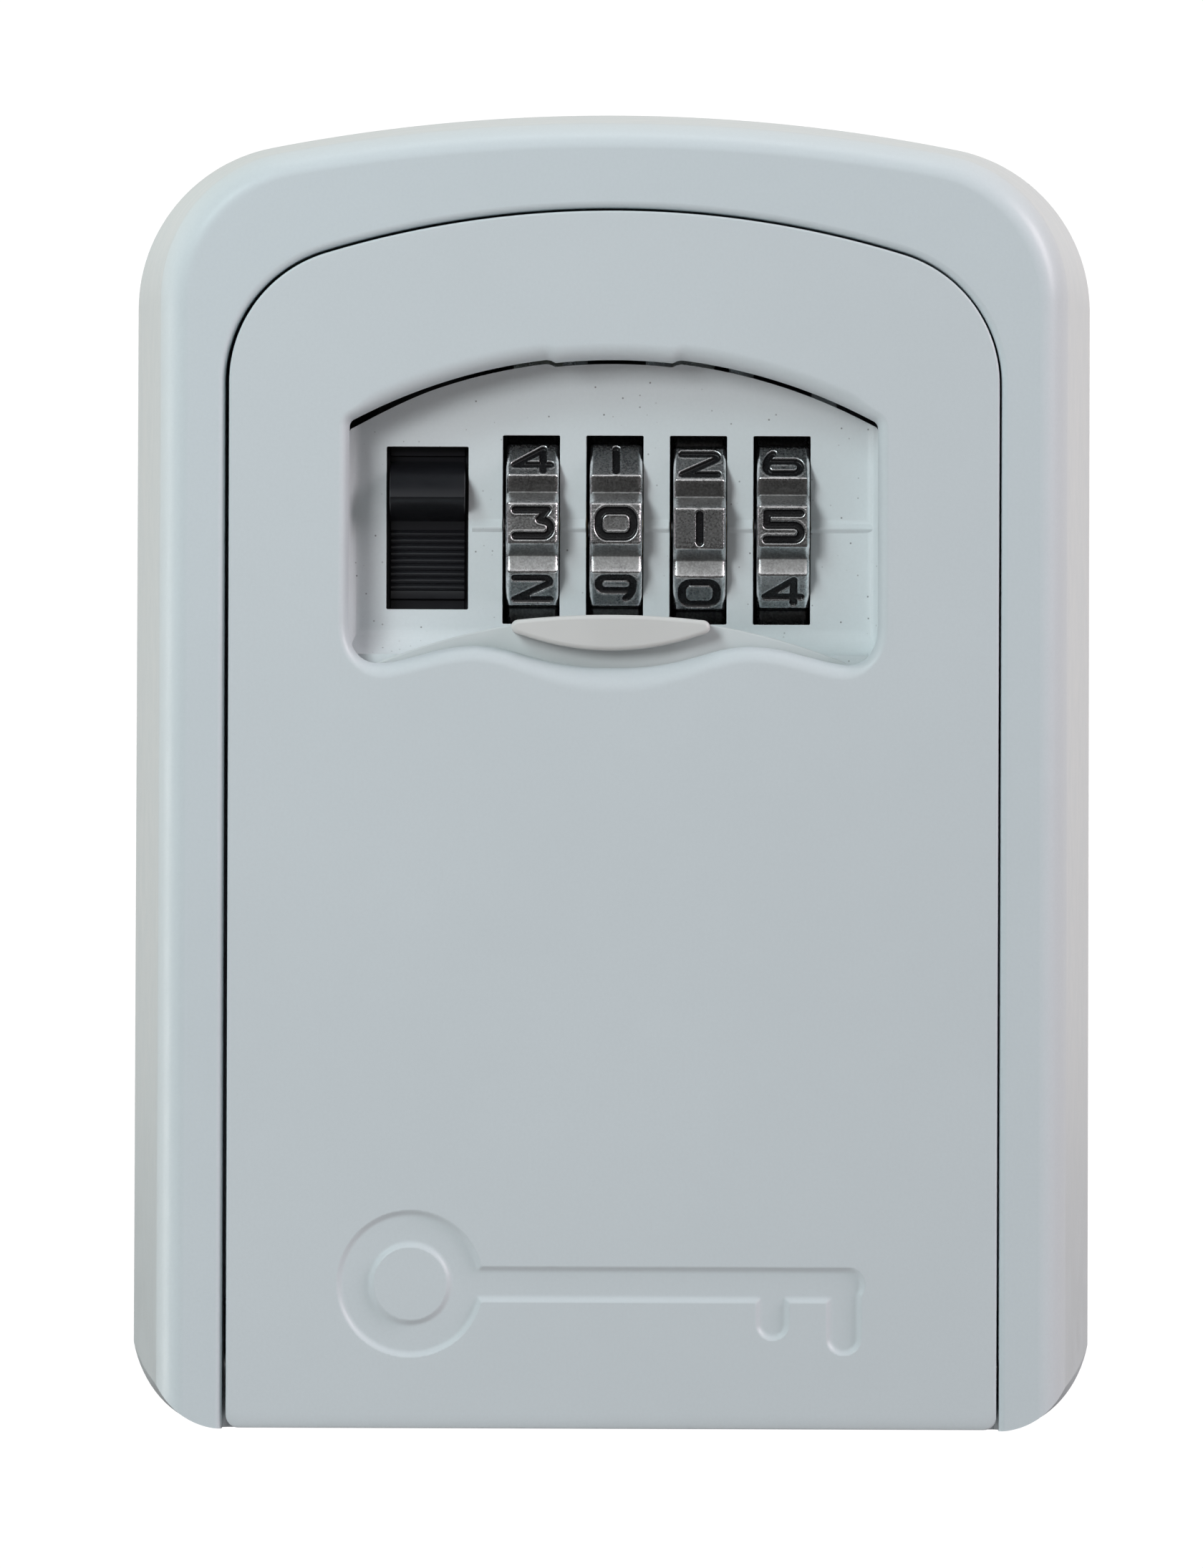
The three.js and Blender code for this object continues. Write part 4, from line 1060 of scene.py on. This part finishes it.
def wheel_columns(turns, front_digit):
    """The wheel's closed section as columns of rows: (x, radius, ink, low for painted shade, edge
    for painted highlight).
    """
    half, chamfer = WHEEL_HALF, WHEEL_CHAMFER
    xs = np.linspace(-half + chamfer, half - chamfer, WHEEL_COLUMNS)
    near = (turns + DIGIT_PITCH / 2) % DIGIT_PITCH - DIGIT_PITCH / 2  # from a digit's middle
    flat_number = np.floor((turns + DIGIT_PITCH / 2) / DIGIT_PITCH).astype(int) % 10
    smooth_radius, X = np.meshgrid(wheel_radii(near), xs, indexing="ij")
    height = smooth_radius * np.sin(np.radians(near))[:, None]
    ink = np.zeros_like(X)
    depth = np.zeros_like(X)
    burr_glint = np.zeros_like(X)
    for digit, (paths, stroke) in enumerate(digit_strokes()):
        rows = ((flat_number + front_digit) % 10 == digit) & (np.abs(near) < 10.6)
        paths = [[(x, z * DIGIT_STRETCH) for x, z in path] for path in paths]
        distance = path_distance(paths, X[rows], height[rows])
        rim = np.exp(-(((distance - stroke - 0.12) / 0.07) ** 2))
        sunk = smoothstep((stroke + 0.05 - distance) / 0.16)
        depth[rows] = DIGIT_DEPTH * sunk - BURR_HEIGHT * rim
        ink[rows] = smoothstep((stroke + 0.06 - distance) / 0.09)
        burr_glint[rows] = rim * 0.6
    radius = smooth_radius - depth
    lift = np.clip((smooth_radius - WHEEL_ROOT) / (WHEEL_RADIUS - WHEEL_ROOT), 0, 1)
    low = 1 - lift
    # painted highlight: the ends of the flats, the rim and the burr round each digit
    flat_ends = np.exp(-(((np.abs(near) - FLAT_ANGLE) / 0.8) ** 2))
    rims = np.exp(-(((np.abs(xs) - (half - chamfer)) / 0.13) ** 2))
    edge = np.maximum(flat_ends[:, None] * 0.85, rims[None, :] * lift)
    edge = np.maximum(edge, burr_glint)

    def rim_column(side, column, inward, share, rim_shade, rim_glint):
        rim_radius = radius[:, column] - chamfer * share
        return side * (half - inward), rim_radius, 0, rim_shade, rim_glint * lift[:, 0]

    columns = [rim_column(-1, 0, *row) for row in RIM]
    columns += [(xs[j], radius[:, j], ink[:, j], low[:, j], edge[:, j])
                for j in range(WHEEL_COLUMNS)]
    columns += [rim_column(1, -1, *row) for row in reversed(RIM)]
    # right side, counterbore, step, toothed bore and left side: x, radius, low (painted shade)
    bore = np.where(np.abs(turns % DIGIT_PITCH - DIGIT_PITCH / 2) < 9.5, 4.4, 3.0)
    inner = [
        (half, 8.0, 0.4), (half, 4.9, 0.5), (half - 0.2, 4.7, 0.5), (-half + 1.3, 4.7, 0.6),
        (-half + 1.3, bore + 0.02, 0.6), (-half, bore, 0.6), (-half, 8.0, 0.4),
    ]
    return columns + [(x, r, 0, inner_shade, 0) for x, r, inner_shade in inner]


def make_wheel(index, front_digit, phase):
    """One wheel as a grid round its axis. Row angle 0 faces the front and grows upwards."""
    turns = np.arange(WHEEL_ROWS) * 360.0 / WHEEL_ROWS
    columns = wheel_columns(turns, front_digit)
    count = len(columns)
    x, radius, ink, low, edge = (
        np.stack([np.broadcast_to(column[part], WHEEL_ROWS) for column in columns], 1)
        for part in range(5)
    )
    angle = np.radians(turns + phase)[:, None]
    y = AXIS_Y - radius * np.cos(angle)
    z = AXIS_Z + radius * np.sin(angle)
    verts = np.stack([x + WHEEL_X[index], y, z], 2).reshape(-1, 3)
    row = np.arange(WHEEL_ROWS)[:, None] * count
    next_row = (np.arange(WHEEL_ROWS)[:, None] + 1) % WHEEL_ROWS * count
    column = np.arange(count)[None, :]
    next_column = (column + 1) % count
    faces = np.stack(
        [row + column, next_row + column, next_row + next_column, row + next_column], 2,
    ).reshape(-1, 4)

    mesh = bpy.data.meshes.new("wheel")
    mesh.vertices.add(len(verts))
    mesh.vertices.foreach_set("co", (verts * 0.001).astype(np.float32).ravel())
    mesh.loops.add(len(faces) * 4)
    mesh.loops.foreach_set("vertex_index", faces.astype(np.int32).ravel())
    mesh.polygons.add(len(faces))
    mesh.polygons.foreach_set("loop_start", (np.arange(len(faces)) * 4).astype(np.int32))
    mesh.update(calc_edges=True)
    mesh.validate()
    # low carries the painted shade and edge the painted highlights into the material
    for name, values in (("ink", ink), ("low", low), ("edge", edge)):
        attribute = mesh.attributes.new(name, "FLOAT", "POINT")
        attribute.data.foreach_set("value", values.astype(np.float32).ravel())
    bm = bmesh.new()
    bm.from_mesh(mesh)
    if bm.calc_volume(signed=True) < 0:
        bmesh.ops.reverse_faces(bm, faces=bm.faces)
    bm.to_mesh(mesh)
    bm.free()
    mesh.polygons.foreach_set("use_smooth", [True] * len(mesh.polygons))
    mesh.set_sharp_from_angle(angle=math.radians(50))
    wheel = bpy.data.objects.new(f"number_wheel_{index + 1}", mesh)
    scene.collection.objects.link(wheel)
    mesh.materials.append(WHEEL)
    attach(wheel, f"wheel_{NUMBERS[index]}")
    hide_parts(f"wheel_{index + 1}")


# ------------------------------------------------------------------ lever, fence and latch
LEVER_BACK, LEVER_FACE = -25.9, -27.5
LEVER_LOW, LEVER_TOP = 10.9, 36.4
# the thumb nib and the groove above it: y, z
LEVER_NIB = [
    (LEVER_FACE, 27.75), (LEVER_FACE + 0.35, 27.65), (LEVER_FACE + 0.4, 27.25),
    (LEVER_FACE, 27.1), (-28.2, 26.85), (-29.3, 26.35), (-30.25, 25.7), (-30.95, 25.0),
    (-31.3, 24.45), (-31.42, 24.05), (-31.25, 23.72), (-30.6, 23.3), (-29.6, 22.85),
    (-28.5, 22.4), (-27.8, 22.12), (LEVER_FACE, 22.0), (LEVER_FACE, 21.25),
]
RIB_COUNT, RIB_TOP, RIB_PITCH = 9, 21.12, 0.585
# one rib below the nib: y from the face, z from its top
RIB = [
    (0.13, 0), (0.10, -0.06), (0, -0.13), (-0.05, -0.24), (-0.05, -0.34), (0, -0.45),
    (0.10, -0.52),
]
FENCE_FRONT, FENCE_BACK = -22.65, -21.15
FENCE_RIVET_Z = 34.7
# the rivet: y, radius
RIVET = [
    (-22.8, 0.0001), (-22.8, 0.7), (-22.7, 0.8), (-21.0, 0.8), (-21.0, 1.45), (-20.85, 1.5),
    (-20.6, 1.35), (-20.4, 0.9), (-20.35, 0.0001),
]
LATCH_FRONT, LATCH_BACK = -20.8, -19.3


def make_lever():
    profile = [(LEVER_BACK, LEVER_TOP), (LEVER_FACE, LEVER_TOP)] + LEVER_NIB
    for k in range(RIB_COUNT):
        top = RIB_TOP - k * RIB_PITCH
        profile += [(LEVER_FACE + y, top + z) for y, z in RIB]
    profile += [
        (LEVER_FACE, 15.75), (LEVER_FACE, 15.2), (LEVER_FACE + 0.35, 15.05),
        (LEVER_FACE + 0.35, LEVER_LOW), (LEVER_BACK, LEVER_LOW),
    ]
    lever = prism_yz(profile, LEVER_X - 3.3, LEVER_X + 3.3, inset=0.12)

    def block(half, y0, y1, z0, z1):
        return box(LEVER_X - half, LEVER_X + half, y0, y1, z0, z1)

    # side flanges, blocks behind the top and the foot, and a peg for the spring
    join(lever, block(4.4, LEVER_FACE + 0.5, LEVER_BACK, LEVER_LOW, 32.6))
    join(lever, block(2.6, LEVER_BACK - 0.4, -22.9, 33.0, LEVER_TOP))
    join(lever, block(1.8, LEVER_BACK - 0.4, -23.6, LEVER_LOW, 12.3))
    join(lever, cylinder("Z", 0.75, 10.2, 11.2, LEVER_X, -25.2))
    finish_piece(lever, "thumb_lever_moulding", "lever", BLACK, "thumb_lever", smooth=28)


def make_fence():
    """The crossbar with a tongue to the lever and a tooth beside each wheel, and its rivet."""
    fence = box(-18.6, 20.2, FENCE_FRONT, FENCE_BACK, 37.0, 40.0)
    join(fence, box(LEVER_X - 2.3, LEVER_X + 2.3, FENCE_FRONT, FENCE_BACK, 32.6, 37.4))
    tooth = [(0, 28.4), (0.5, 27.65), (1.7, 27.65), (2.2, 28.4), (2.2, 37.4), (0, 37.4)]
    for x in WHEEL_X:
        left = x + WHEEL_HALF + 0.28
        join(fence, prism_xz([(left + dx, z) for dx, z in tooth], FENCE_FRONT, FENCE_BACK))
    join(fence, box(-2, 2, FENCE_BACK - 0.3, -18.95, 37.0, 38.3))
    cut(fence, cylinder("Y", 0.95, -24, -20, LEVER_X, FENCE_RIVET_Z))
    finish_piece(fence, "fence_plate", "lever", STEEL, "fence_comb", bevel=0.12)
    rivet = turned("Y", RIVET, LEVER_X, FENCE_RIVET_Z)
    finish_piece(rivet, "fence_rivet_head", "lever", STEEL, "fence_rivet")


def make_latch():
    """A plate with a slanted nose, an ear over each spring and a slot in the middle."""
    latch = box(-9, 9, LATCH_FRONT, LATCH_BACK, 31.8, 39.1)
    join(latch, box(-6, 6, LATCH_FRONT, LATCH_BACK, 38.5, 46.4))
    nose = [(LATCH_FRONT, 46), (LATCH_BACK, 46), (LATCH_BACK, 47.4), (LATCH_FRONT, 48.5)]
    join(latch, prism_yz(nose, -6, 6))
    for left, right in reversed(mirrored(8, 12.9)):
        join(latch, box(left, right, LATCH_FRONT, -16.9, 37.7, 39.1))
    cut(latch, box(-2.8, 2.8, -22, -18, 33.2, 38.8))
    finish_piece(latch, "latch_bolt_plate", "latch", BOLT, "latch_bolt", bevel=0.15)


# ------------------------------------------------------------------ shutter
SHUTTER_ARCH, SHUTTER_PEAK, SHUTTER_HALF, SHUTTER_LOW = 54.0, 13.6, 24.1, -17
TAB_HALF, TAB_X, TAB_Z, TAB_TIP = 8.05, -0.22, 12.68, 0.62  # half span of its tips; tip radius
TAB_TOP_SAG, TAB_LOW_SAG = 0.45, 1.42


def shutter_outline(inset):
    half, arch = SHUTTER_HALF - inset, SHUTTER_ARCH - inset
    end = math.asin(half / arch)
    points = [(-half, SHUTTER_LOW + inset), (half, SHUTTER_LOW + inset)]
    for i in range(SHUTTER_STEPS + 1):
        angle = end - 2 * end * i / SHUTTER_STEPS
        z = SHUTTER_PEAK - SHUTTER_ARCH + arch * math.cos(angle)
        points.append((arch * math.sin(angle), z))
    return points


def tab_outline(inset):
    """A lens: right tip, upper arc, left tip, lower arc."""
    tip = TAB_TIP - inset
    points = []
    for side, start, sag in ((1, -68, TAB_TOP_SAG), (-1, 98, -TAB_LOW_SAG)):
        for k in range(9):
            angle = math.radians(start + 150 * k / 8)
            x = side * TAB_HALF + tip * math.cos(angle)
            points.append((x + TAB_X, TAB_Z + tip * math.sin(angle)))
        for k in range(1, 36):
            x = side * (TAB_HALF - 2 * TAB_HALF * k / 36)
            z = TAB_Z + side * tip + sag * (1 - (x / TAB_HALF) ** 2)
            points.append((x + TAB_X, z))
    return points


def make_shutter():
    # name, finish, CAD node, outline, back, front, radius of the front edge
    parts = (
        ("shutter_plate", SHUTTER, "shutter", shutter_outline, -31.9, -32.9, 0.15),
        ("shutter_tab", LENS, None, tab_outline, -32.6, -35.12, 0.4),
    )
    for name, finish, node, outline, back, front, radius in parts:
        stations = [(back, 0.0), *reversed(round_over(front, radius, steps=5))]
        part = loft([(y, outline(inset)) for y, inset in stations])
        finish_piece(part, name, "shutter", finish, node)


# ------------------------------------------------------------------ coil springs
# CAD node, name, axis, place across the axis, coil radius, wire radius, turns
COIL_SPRINGS = [
    ("lever_spring", "lever_spring_coil", "Z", (LEVER_X, -25.2), 1.5, 0.26, 3.5),
    ("latch_spring_left", "latch_spring_coil_left", "Z", (-LATCH_SPRING_X, -18.5), 1.35, 0.23, 4),
    ("latch_spring_right", "latch_spring_coil_right", "Z", (LATCH_SPRING_X, -18.5), 1.35, 0.23, 4),
    ("change_spring", "change_spring_coil", "X", (AXIS_Y, AXIS_Z), 2.15, 0.27, 4),
]


def coil(start, axis, radius, wire, length, turns):
    """A wire helix along +Z or +X from start, with flat ends."""
    steps = int(turns * COIL_STEPS)
    path = []
    for i in range(steps + 1):
        t = i / steps
        angle = t * turns * 2 * math.pi
        path.append(Vector((radius * math.cos(angle), radius * math.sin(angle), length * t)))
    rings = []
    for i, centre in enumerate(path):
        along = (path[min(steps, i + 1)] - path[max(0, i - 1)]).normalized()
        outward = Vector((centre.x, centre.y, 0)).normalized()
        outward = (outward - along * outward.dot(along)).normalized()
        across = along.cross(outward)
        ring = []
        for k in range(WIRE_SIDES):
            angle = 2 * math.pi * k / WIRE_SIDES
            point = centre + outward * (wire * math.cos(angle)) + across * (wire * math.sin(angle))
            if axis == "X":
                point = Vector((point.z, point.y, -point.x))
            ring.append(point + Vector(start))
        rings.append(ring)
    return tube(rings)


def make_coil_springs():
    for node, name, axis, across, radius, wire, turns in COIL_SPRINGS:
        low, high = box_mm(node)
        i = "XYZ".index(axis)
        start = place(axis, low[i] + wire, *across)
        length = high[i] - low[i] - 2 * wire
        spring = coil(start, axis, radius, wire, length, turns)
        finish_piece(spring, name, "door", SPRING, node, smooth=60, weighted=False)


# ------------------------------------------------------------------ screws and pins
def make_cover_screws():
    """Threaded screws with a cross recess in the head, which faces back."""
    corners = ("top_left", "top_right", "low_left", "low_right")
    for (x, z), corner in zip(SCREWS, corners):
        node = f"cover_screw_{corner}"
        seat = box_mm(node)[1][1] - 1.2
        profile = [(seat - 6.1, 0.0001), (seat - 6.1, 0.75), (seat - 5.6, 1.0)]
        for k in range(9):
            crest = seat - 5.4 + k * 0.55
            profile += [(crest, 1.1), (crest + 0.27, 0.86)]
        head = [
            (-0.3, 1.05), (0, 1.05), (0, 1.95), (0.12, 2.0), (0.55, 1.97), (0.9, 1.72),
            (1.12, 1.2), (1.2, 0.0001),
        ]
        profile += [(seat + y, radius) for y, radius in head]
        screw = turned("Y", profile, x, z)
        for half_x, half_z in ((1.3, 0.25), (0.25, 1.3)):
            cut(screw, box(x - half_x, x + half_x, seat + 0.55, seat + 2, z - half_z, z + half_z))
        finish_piece(screw, f"cross_screw_{corner}", "door", STEEL, node)


def make_hinge_pins():
    end = [(0, 0.0001), (0, 1.2), (0.25, 1.47), (0.4, PIN_RADIUS)]  # from the tip, radius
    for node in ("hinge_pin_left", "hinge_pin_right"):
        low, high = box_mm(node)
        profile = [(low[0] + x, radius) for x, radius in end]
        profile += [(high[0] - x, radius) for x, radius in reversed(end)]
        pin = turned("X", profile, HINGE_Y, HINGE_Z)
        finish_piece(pin, node + "_steel", "housing", STEEL, node)


# ------------------------------------------------------------------ spindle
def make_spindle():
    low, high = box_mm("spindle")
    left, right = low[0], high[0]
    full, groove = SPINDLE_RADIUS, 0.95
    profile = [(left, 0.0001), (left, 1.1), (left + 0.3, full)]
    for x in (-15.9, -9.75, 18.55):
        profile += [(x - 0.3, full), (x - 0.3, groove), (x + 0.3, groove), (x + 0.3, full)]
    profile += [(right - 0.3, full), (right, 1.1), (right, 0.0001)]
    spindle = turned("X", profile, AXIS_Y, AXIS_Z)
    finish_piece(spindle, "spindle_rod", "change_spindle", STEEL, "spindle")


def make_clips():
    """Snap rings, open at the top, with two notches low on the rim."""
    for node, radius in (("spring_clip", 2.8), ("sleeve_clip_left", 2.3),
                         ("sleeve_clip_right", 2.3)):
        x = centre_mm(node)[0]
        profile = [(x - 0.15, 1.05), (x - 0.15, radius), (x + 0.15, radius), (x + 0.15, 1.05)]
        ring = turned("X", profile, AXIS_Y, AXIS_Z)
        cut(ring, box(x - 1, x + 1, AXIS_Y - 0.85, AXIS_Y + 0.85, AXIS_Z + 0.2, AXIS_Z + 4))
        for degrees in (35, 145):
            angle = math.radians(degrees)
            y, z = AXIS_Y + radius * math.cos(angle), AXIS_Z - radius * math.sin(angle)
            cut(ring, cylinder("X", 0.42, x - 1, x + 1, y, z, sides=20))
        finish_piece(ring, node + "_ring", "change_spindle", SPRING, node, bevel=0.04)


def make_sleeves():
    """A sleeve in each wheel: a tube with two keys and a collar notched above and below."""
    bore, tube_radius, collar = 1.6, 2.6, 5.5
    for i, x in enumerate(WHEEL_X):
        left, right = x - WHEEL_HALF, x + WHEEL_HALF
        is_last = i == len(WHEEL_X) - 1  # this one ends at its collar
        end = x + (WHEEL_HALF + (1.05 if is_last else 2.55))
        profile = [
            (left + 0.1, bore), (left + 0.1, tube_radius - 0.1), (left + 0.2, tube_radius),
            (right + 0.25, tube_radius), (right + 0.25, collar - 0.1), (right + 0.35, collar),
            (right + 0.95, collar), (right + 1.05, collar - 0.1), (right + 1.05, tube_radius),
        ]
        if not is_last:
            profile += [(end - 0.1, tube_radius), (end, tube_radius - 0.1)]
        sleeve = turned("X", profile + [(end, bore)], AXIS_Y, AXIS_Z)
        for low, high in mirrored(2.2, 4.1):
            join(sleeve, box(left + 0.1, left + 1.2, AXIS_Y - 0.38, AXIS_Y + 0.38,
                             AXIS_Z + low, AXIS_Z + high))
        for low, high in mirrored(2.62, 7):
            cut(sleeve, box(right, right + 1.3, AXIS_Y - 1, AXIS_Y + 1,
                            AXIS_Z + low, AXIS_Z + high))
        finish_piece(sleeve, f"gate_sleeve_{i + 1}", f"sleeve_{NUMBERS[i]}", BRASS,
                     f"sleeve_{i + 1}", bevel=0.05)


def make_change_tab():
    """A collar on the spindle with an arm to the back, its end thickened and grooved."""
    left, right = 21.9, 23.7
    tab = cylinder("X", 2.6, left, right, AXIS_Y, AXIS_Z)
    join(tab, box(left, right, AXIS_Y + 1.2, AXIS_Y + 12.6, AXIS_Z - 2.4, AXIS_Z + 2.4))
    join(tab, box(left, 24.3, AXIS_Y + 11.5, AXIS_Y + 12.7, AXIS_Z - 2.6, AXIS_Z + 2.6))
    cut(tab, cylinder("X", SPINDLE_RADIUS + 0.1, 20, 26, AXIS_Y, AXIS_Z))
    for groove in (-1.5, 0, 1.5):
        z = AXIS_Z + groove
        cut(tab, box(21, 25, AXIS_Y + 12.45, AXIS_Y + 13, z - 0.25, z + 0.25))
    finish_piece(tab, "change_tab", "change_spindle", STEEL, "change_slider", bevel=0.12)


# ------------------------------------------------------------------ detent spring
LEAF_HALF_THICKNESS = 0.2
# middle line of a leaf from its root: y, z
LEAF = [
    (-17.9, 8.85), (-18.9, 8.87), (-19.7, 8.93), (-20.3, 9.25), (-20.85, 9.95), (-21.3, 10.75),
    (-21.62, 11.5), (-21.9, 11.75), (-22.18, 11.5), (-22.42, 11.0), (-22.6, 10.8),
]


def make_detent_spring():
    """A strip with a bent leaf under each wheel."""
    spring = box(-12.2, 20.2, -18.6, -14.6, 8.65, 9.05)
    upper, lower = [], []
    for i, point in enumerate(LEAF):
        before = Vector(LEAF[max(0, i - 1)])
        after = Vector(LEAF[min(len(LEAF) - 1, i + 1)])
        along = (after - before).normalized()
        offset = Vector((along.y, -along.x)) * LEAF_HALF_THICKNESS
        upper.append(tuple(Vector(point) + offset))
        lower.append(tuple(Vector(point) - offset))
    for x in WHEEL_X:
        join(spring, prism_yz(upper + lower[::-1], x - 1.6, x + 1.6))
    for x in DETENT_SCREWS_X:
        cut(spring, cylinder("Z", 1.05, 8, 10, x, DETENT_SCREWS_Y))
    finish_piece(spring, "detent_leaf", "door", SPRING, "detent_spring", bevel=0.03, segments=1)


def make_detent_screws():
    # z from the seat, radius
    outline = [
        (-2.4, 0.0001), (-2.4, 0.5), (-2.1, 0.7), (0, 0.7), (0, 1.55), (0.1, 1.6), (0.4, 1.52),
        (0.62, 1.2), (0.7, 0.0001),
    ]
    for side in ("left", "right"):
        node = f"detent_screw_{side}"
        x, y = centre_mm(node)[:2]
        seat = box_mm(node)[1][2] - 0.7
        screw = turned("Z", [(seat + z, radius) for z, radius in outline], x, y)
        cut(screw, box(x - 2, x + 2, y - 0.2, y + 0.2, seat + 0.35, seat + 2))
        finish_piece(screw, f"leaf_screw_{side}", "door", STEEL, node)


make_housing()
make_door()
make_dial_panel()
make_cover()
for index, (digit, phase) in enumerate(WHEEL_SETTINGS):
    make_wheel(index, digit, phase)
make_lever()
make_fence()
make_latch()
make_shutter()
make_coil_springs()
make_cover_screws()
make_hinge_pins()
make_spindle()
make_clips()
make_sleeves()
make_change_tab()
make_detent_spring()
make_detent_screws()

# ------------------------------------------------------------------ stage, light and camera (m)
BACKDROP_LEVEL = 1.05  # brightness of the floor and the world as the camera sees them
FLOOR_RADIUS, FLOOR_Z = 4, -0.16
FRONT_BASE = 0.03  # even light from in front
FRONT_PEAK = 0.0  # extra light from straight in front
BACK_LEVEL = 0.78  # light from behind
# brightness that mirrors see in front: height (0 straight down, 1 straight up), level
MIRRORED_ROOM = [
    (0.0, 0.25), (0.27, 0.04), (0.47, 0.03), (0.575, 0.09), (0.71, 1.0), (0.84, 0.5), (1.0, 0.28),
]


def floor_material():
    """Plain white to the camera, grey to diffuse light and dark to the metal that mirrors it."""
    m = Material("stage_floor")
    rays = m.node("LightPath").outputs
    tone = m.mix(rays["Is Glossy Ray"], (0.42, 0.40, 0.41), (0.04, 0.04, 0.04))
    m.finish({"Base Color": tone, "Roughness": 0.9})
    glow = m.node("Emission", {0: (1, 1, 1), 1: BACKDROP_LEVEL})
    seen = m.node(
        "MixShader", {0: rays["Is Camera Ray"], 1: m.surface.outputs[0], 2: glow.outputs[0]})
    m.feed(m.output.inputs[0], seen.outputs[0])
    return m.material


def make_floor():
    angles = [2 * math.pi * k / 64 for k in range(64)]
    rim = [(FLOOR_RADIUS * math.cos(a), FLOOR_RADIUS * math.sin(a), FLOOR_Z) for a in angles]
    floor = raw(rim, [tuple(range(64))], name="stage_floor", recalc=False)
    floor.data.materials.append(floor_material())


def make_world():
    """A bright backdrop behind the box and a dim room in front; plain white to the camera."""
    world = bpy.data.worlds.new("studio")
    scene.world = world
    g = Graph(world)
    rays = g.node("LightPath").outputs
    direction = g.node("SeparateXYZ", {0: g.node("TexCoord").outputs["Generated"]}).outputs
    y, z = direction[1], direction[2]
    behind = g.span(y, (-0.25, 0.15), interpolation="SMOOTHSTEP")

    # the room that lights matt surfaces, a little stronger from above
    frontal = g.math("MAXIMUM", g.math("MULTIPLY", y, -1.0), 0.0)
    peak = g.math("MULTIPLY", g.math("POWER", frontal, 6.0), FRONT_PEAK)
    height = g.span(z, (-0.9, 0.9), to=(0.80, 1.2))
    matt = g.math("MULTIPLY", g.math("ADD", peak, FRONT_BASE), height)

    # the room that metal mirrors, with a bright soft box above the camera
    ramp = g.node("ValToRGB", {0: g.span(z, (-1.0, 1.0))})
    ramp.color_ramp.interpolation = "EASE"
    stops = ramp.color_ramp.elements
    for i, (position, level) in enumerate(MIRRORED_ROOM):
        stop = stops[i] if i < 2 else stops.new(position)  # a new ramp has two stops
        stop.position = position
        stop.color = (level, level, level, 1)

    room = g.node("Mix", {0: rays["Is Glossy Ray"], 2: matt, 3: ramp.outputs[0]}).outputs[0]
    back_part = g.math("MULTIPLY", behind, BACK_LEVEL)
    front_part = g.math("MULTIPLY", g.math("SUBTRACT", 1.0, behind), room)
    tint = g.mix(behind, (1.0, 0.995, 1.0), (1.0, 0.935, 0.855))
    lit = g.node("Background", {0: tint, 1: g.math("ADD", back_part, front_part)})
    seen = g.node("Background", {0: (1, 1, 1), 1: BACKDROP_LEVEL})
    choice = g.node(
        "MixShader", {0: rays["Is Camera Ray"], 1: lit.outputs[0], 2: seen.outputs[0]})
    g.node("OutputWorld", {0: choice.outputs[0]})


def area_light(name, location, size, energy, color, target=(0, -0.03, 0)):
    """A rectangular light of size (across, up), aimed at target and hidden from the camera."""
    data = bpy.data.lights.new(name, "AREA")
    data.shape = "RECTANGLE"
    data.size, data.size_y = size
    data.energy = energy
    data.color = color
    light = bpy.data.objects.new(name, data)
    scene.collection.objects.link(light)
    light.location = location
    light.rotation_mode = "QUATERNION"
    aim = Vector(target) - Vector(location)
    light.rotation_quaternion = aim.to_track_quat("-Z", "Y")
    light.visible_camera = False
    return light


def make_lights():
    area_light("key_left", (-0.30, -0.38, 0.34), size=(0.16, 0.16), energy=0.68,
               color=(0.82, 0.99, 1.01))
    soft = area_light("front_left", (-0.32, -0.60, 0.21), size=(0.22, 0.22), energy=2.09,
                      color=(1.0, 1.0, 1.01))
    soft.visible_glossy = False  # an even light that must not glare in the metal
    area_light("right_high", (0.82, -0.24, 0.42), size=(0.30, 0.5), energy=5.0,
               color=(1.03, 0.91, 0.955))
    area_light("left_side", (-0.85, 0.08, -0.24), size=(0.40, 0.6), energy=3.2,
               color=(1.0, 0.98, 0.95))
    area_light("top_graze", (0.0, -0.08, 0.85), size=(0.40, 0.2), energy=0.8,
               color=(0.95, 1.0, 1.03), target=(0, -0.02, 0))


def make_camera():
    """Looks straight at the front, rolled very slightly."""
    data = bpy.data.cameras.new("camera")
    data.sensor_width = 36.0
    data.lens = 263.5
    data.shift_x = -0.00707763
    data.shift_y = -0.00730594
    data.clip_start, data.clip_end = 0.01, 20
    camera = bpy.data.objects.new("camera", data)
    scene.collection.objects.link(camera)
    camera.location = (0.0, FRONT / 1000 - CAMERA_DISTANCE / 1000, 0.0)
    roll = Matrix.Rotation(math.radians(-0.2), 3, "Y")
    camera.rotation_euler = (roll @ Matrix.Rotation(math.pi / 2, 3, "X")).to_euler()
    scene.camera = camera


make_floor()
make_world()
make_lights()
make_camera()
scene.view_settings.view_transform = "Standard"
scene.view_settings.look = "None"
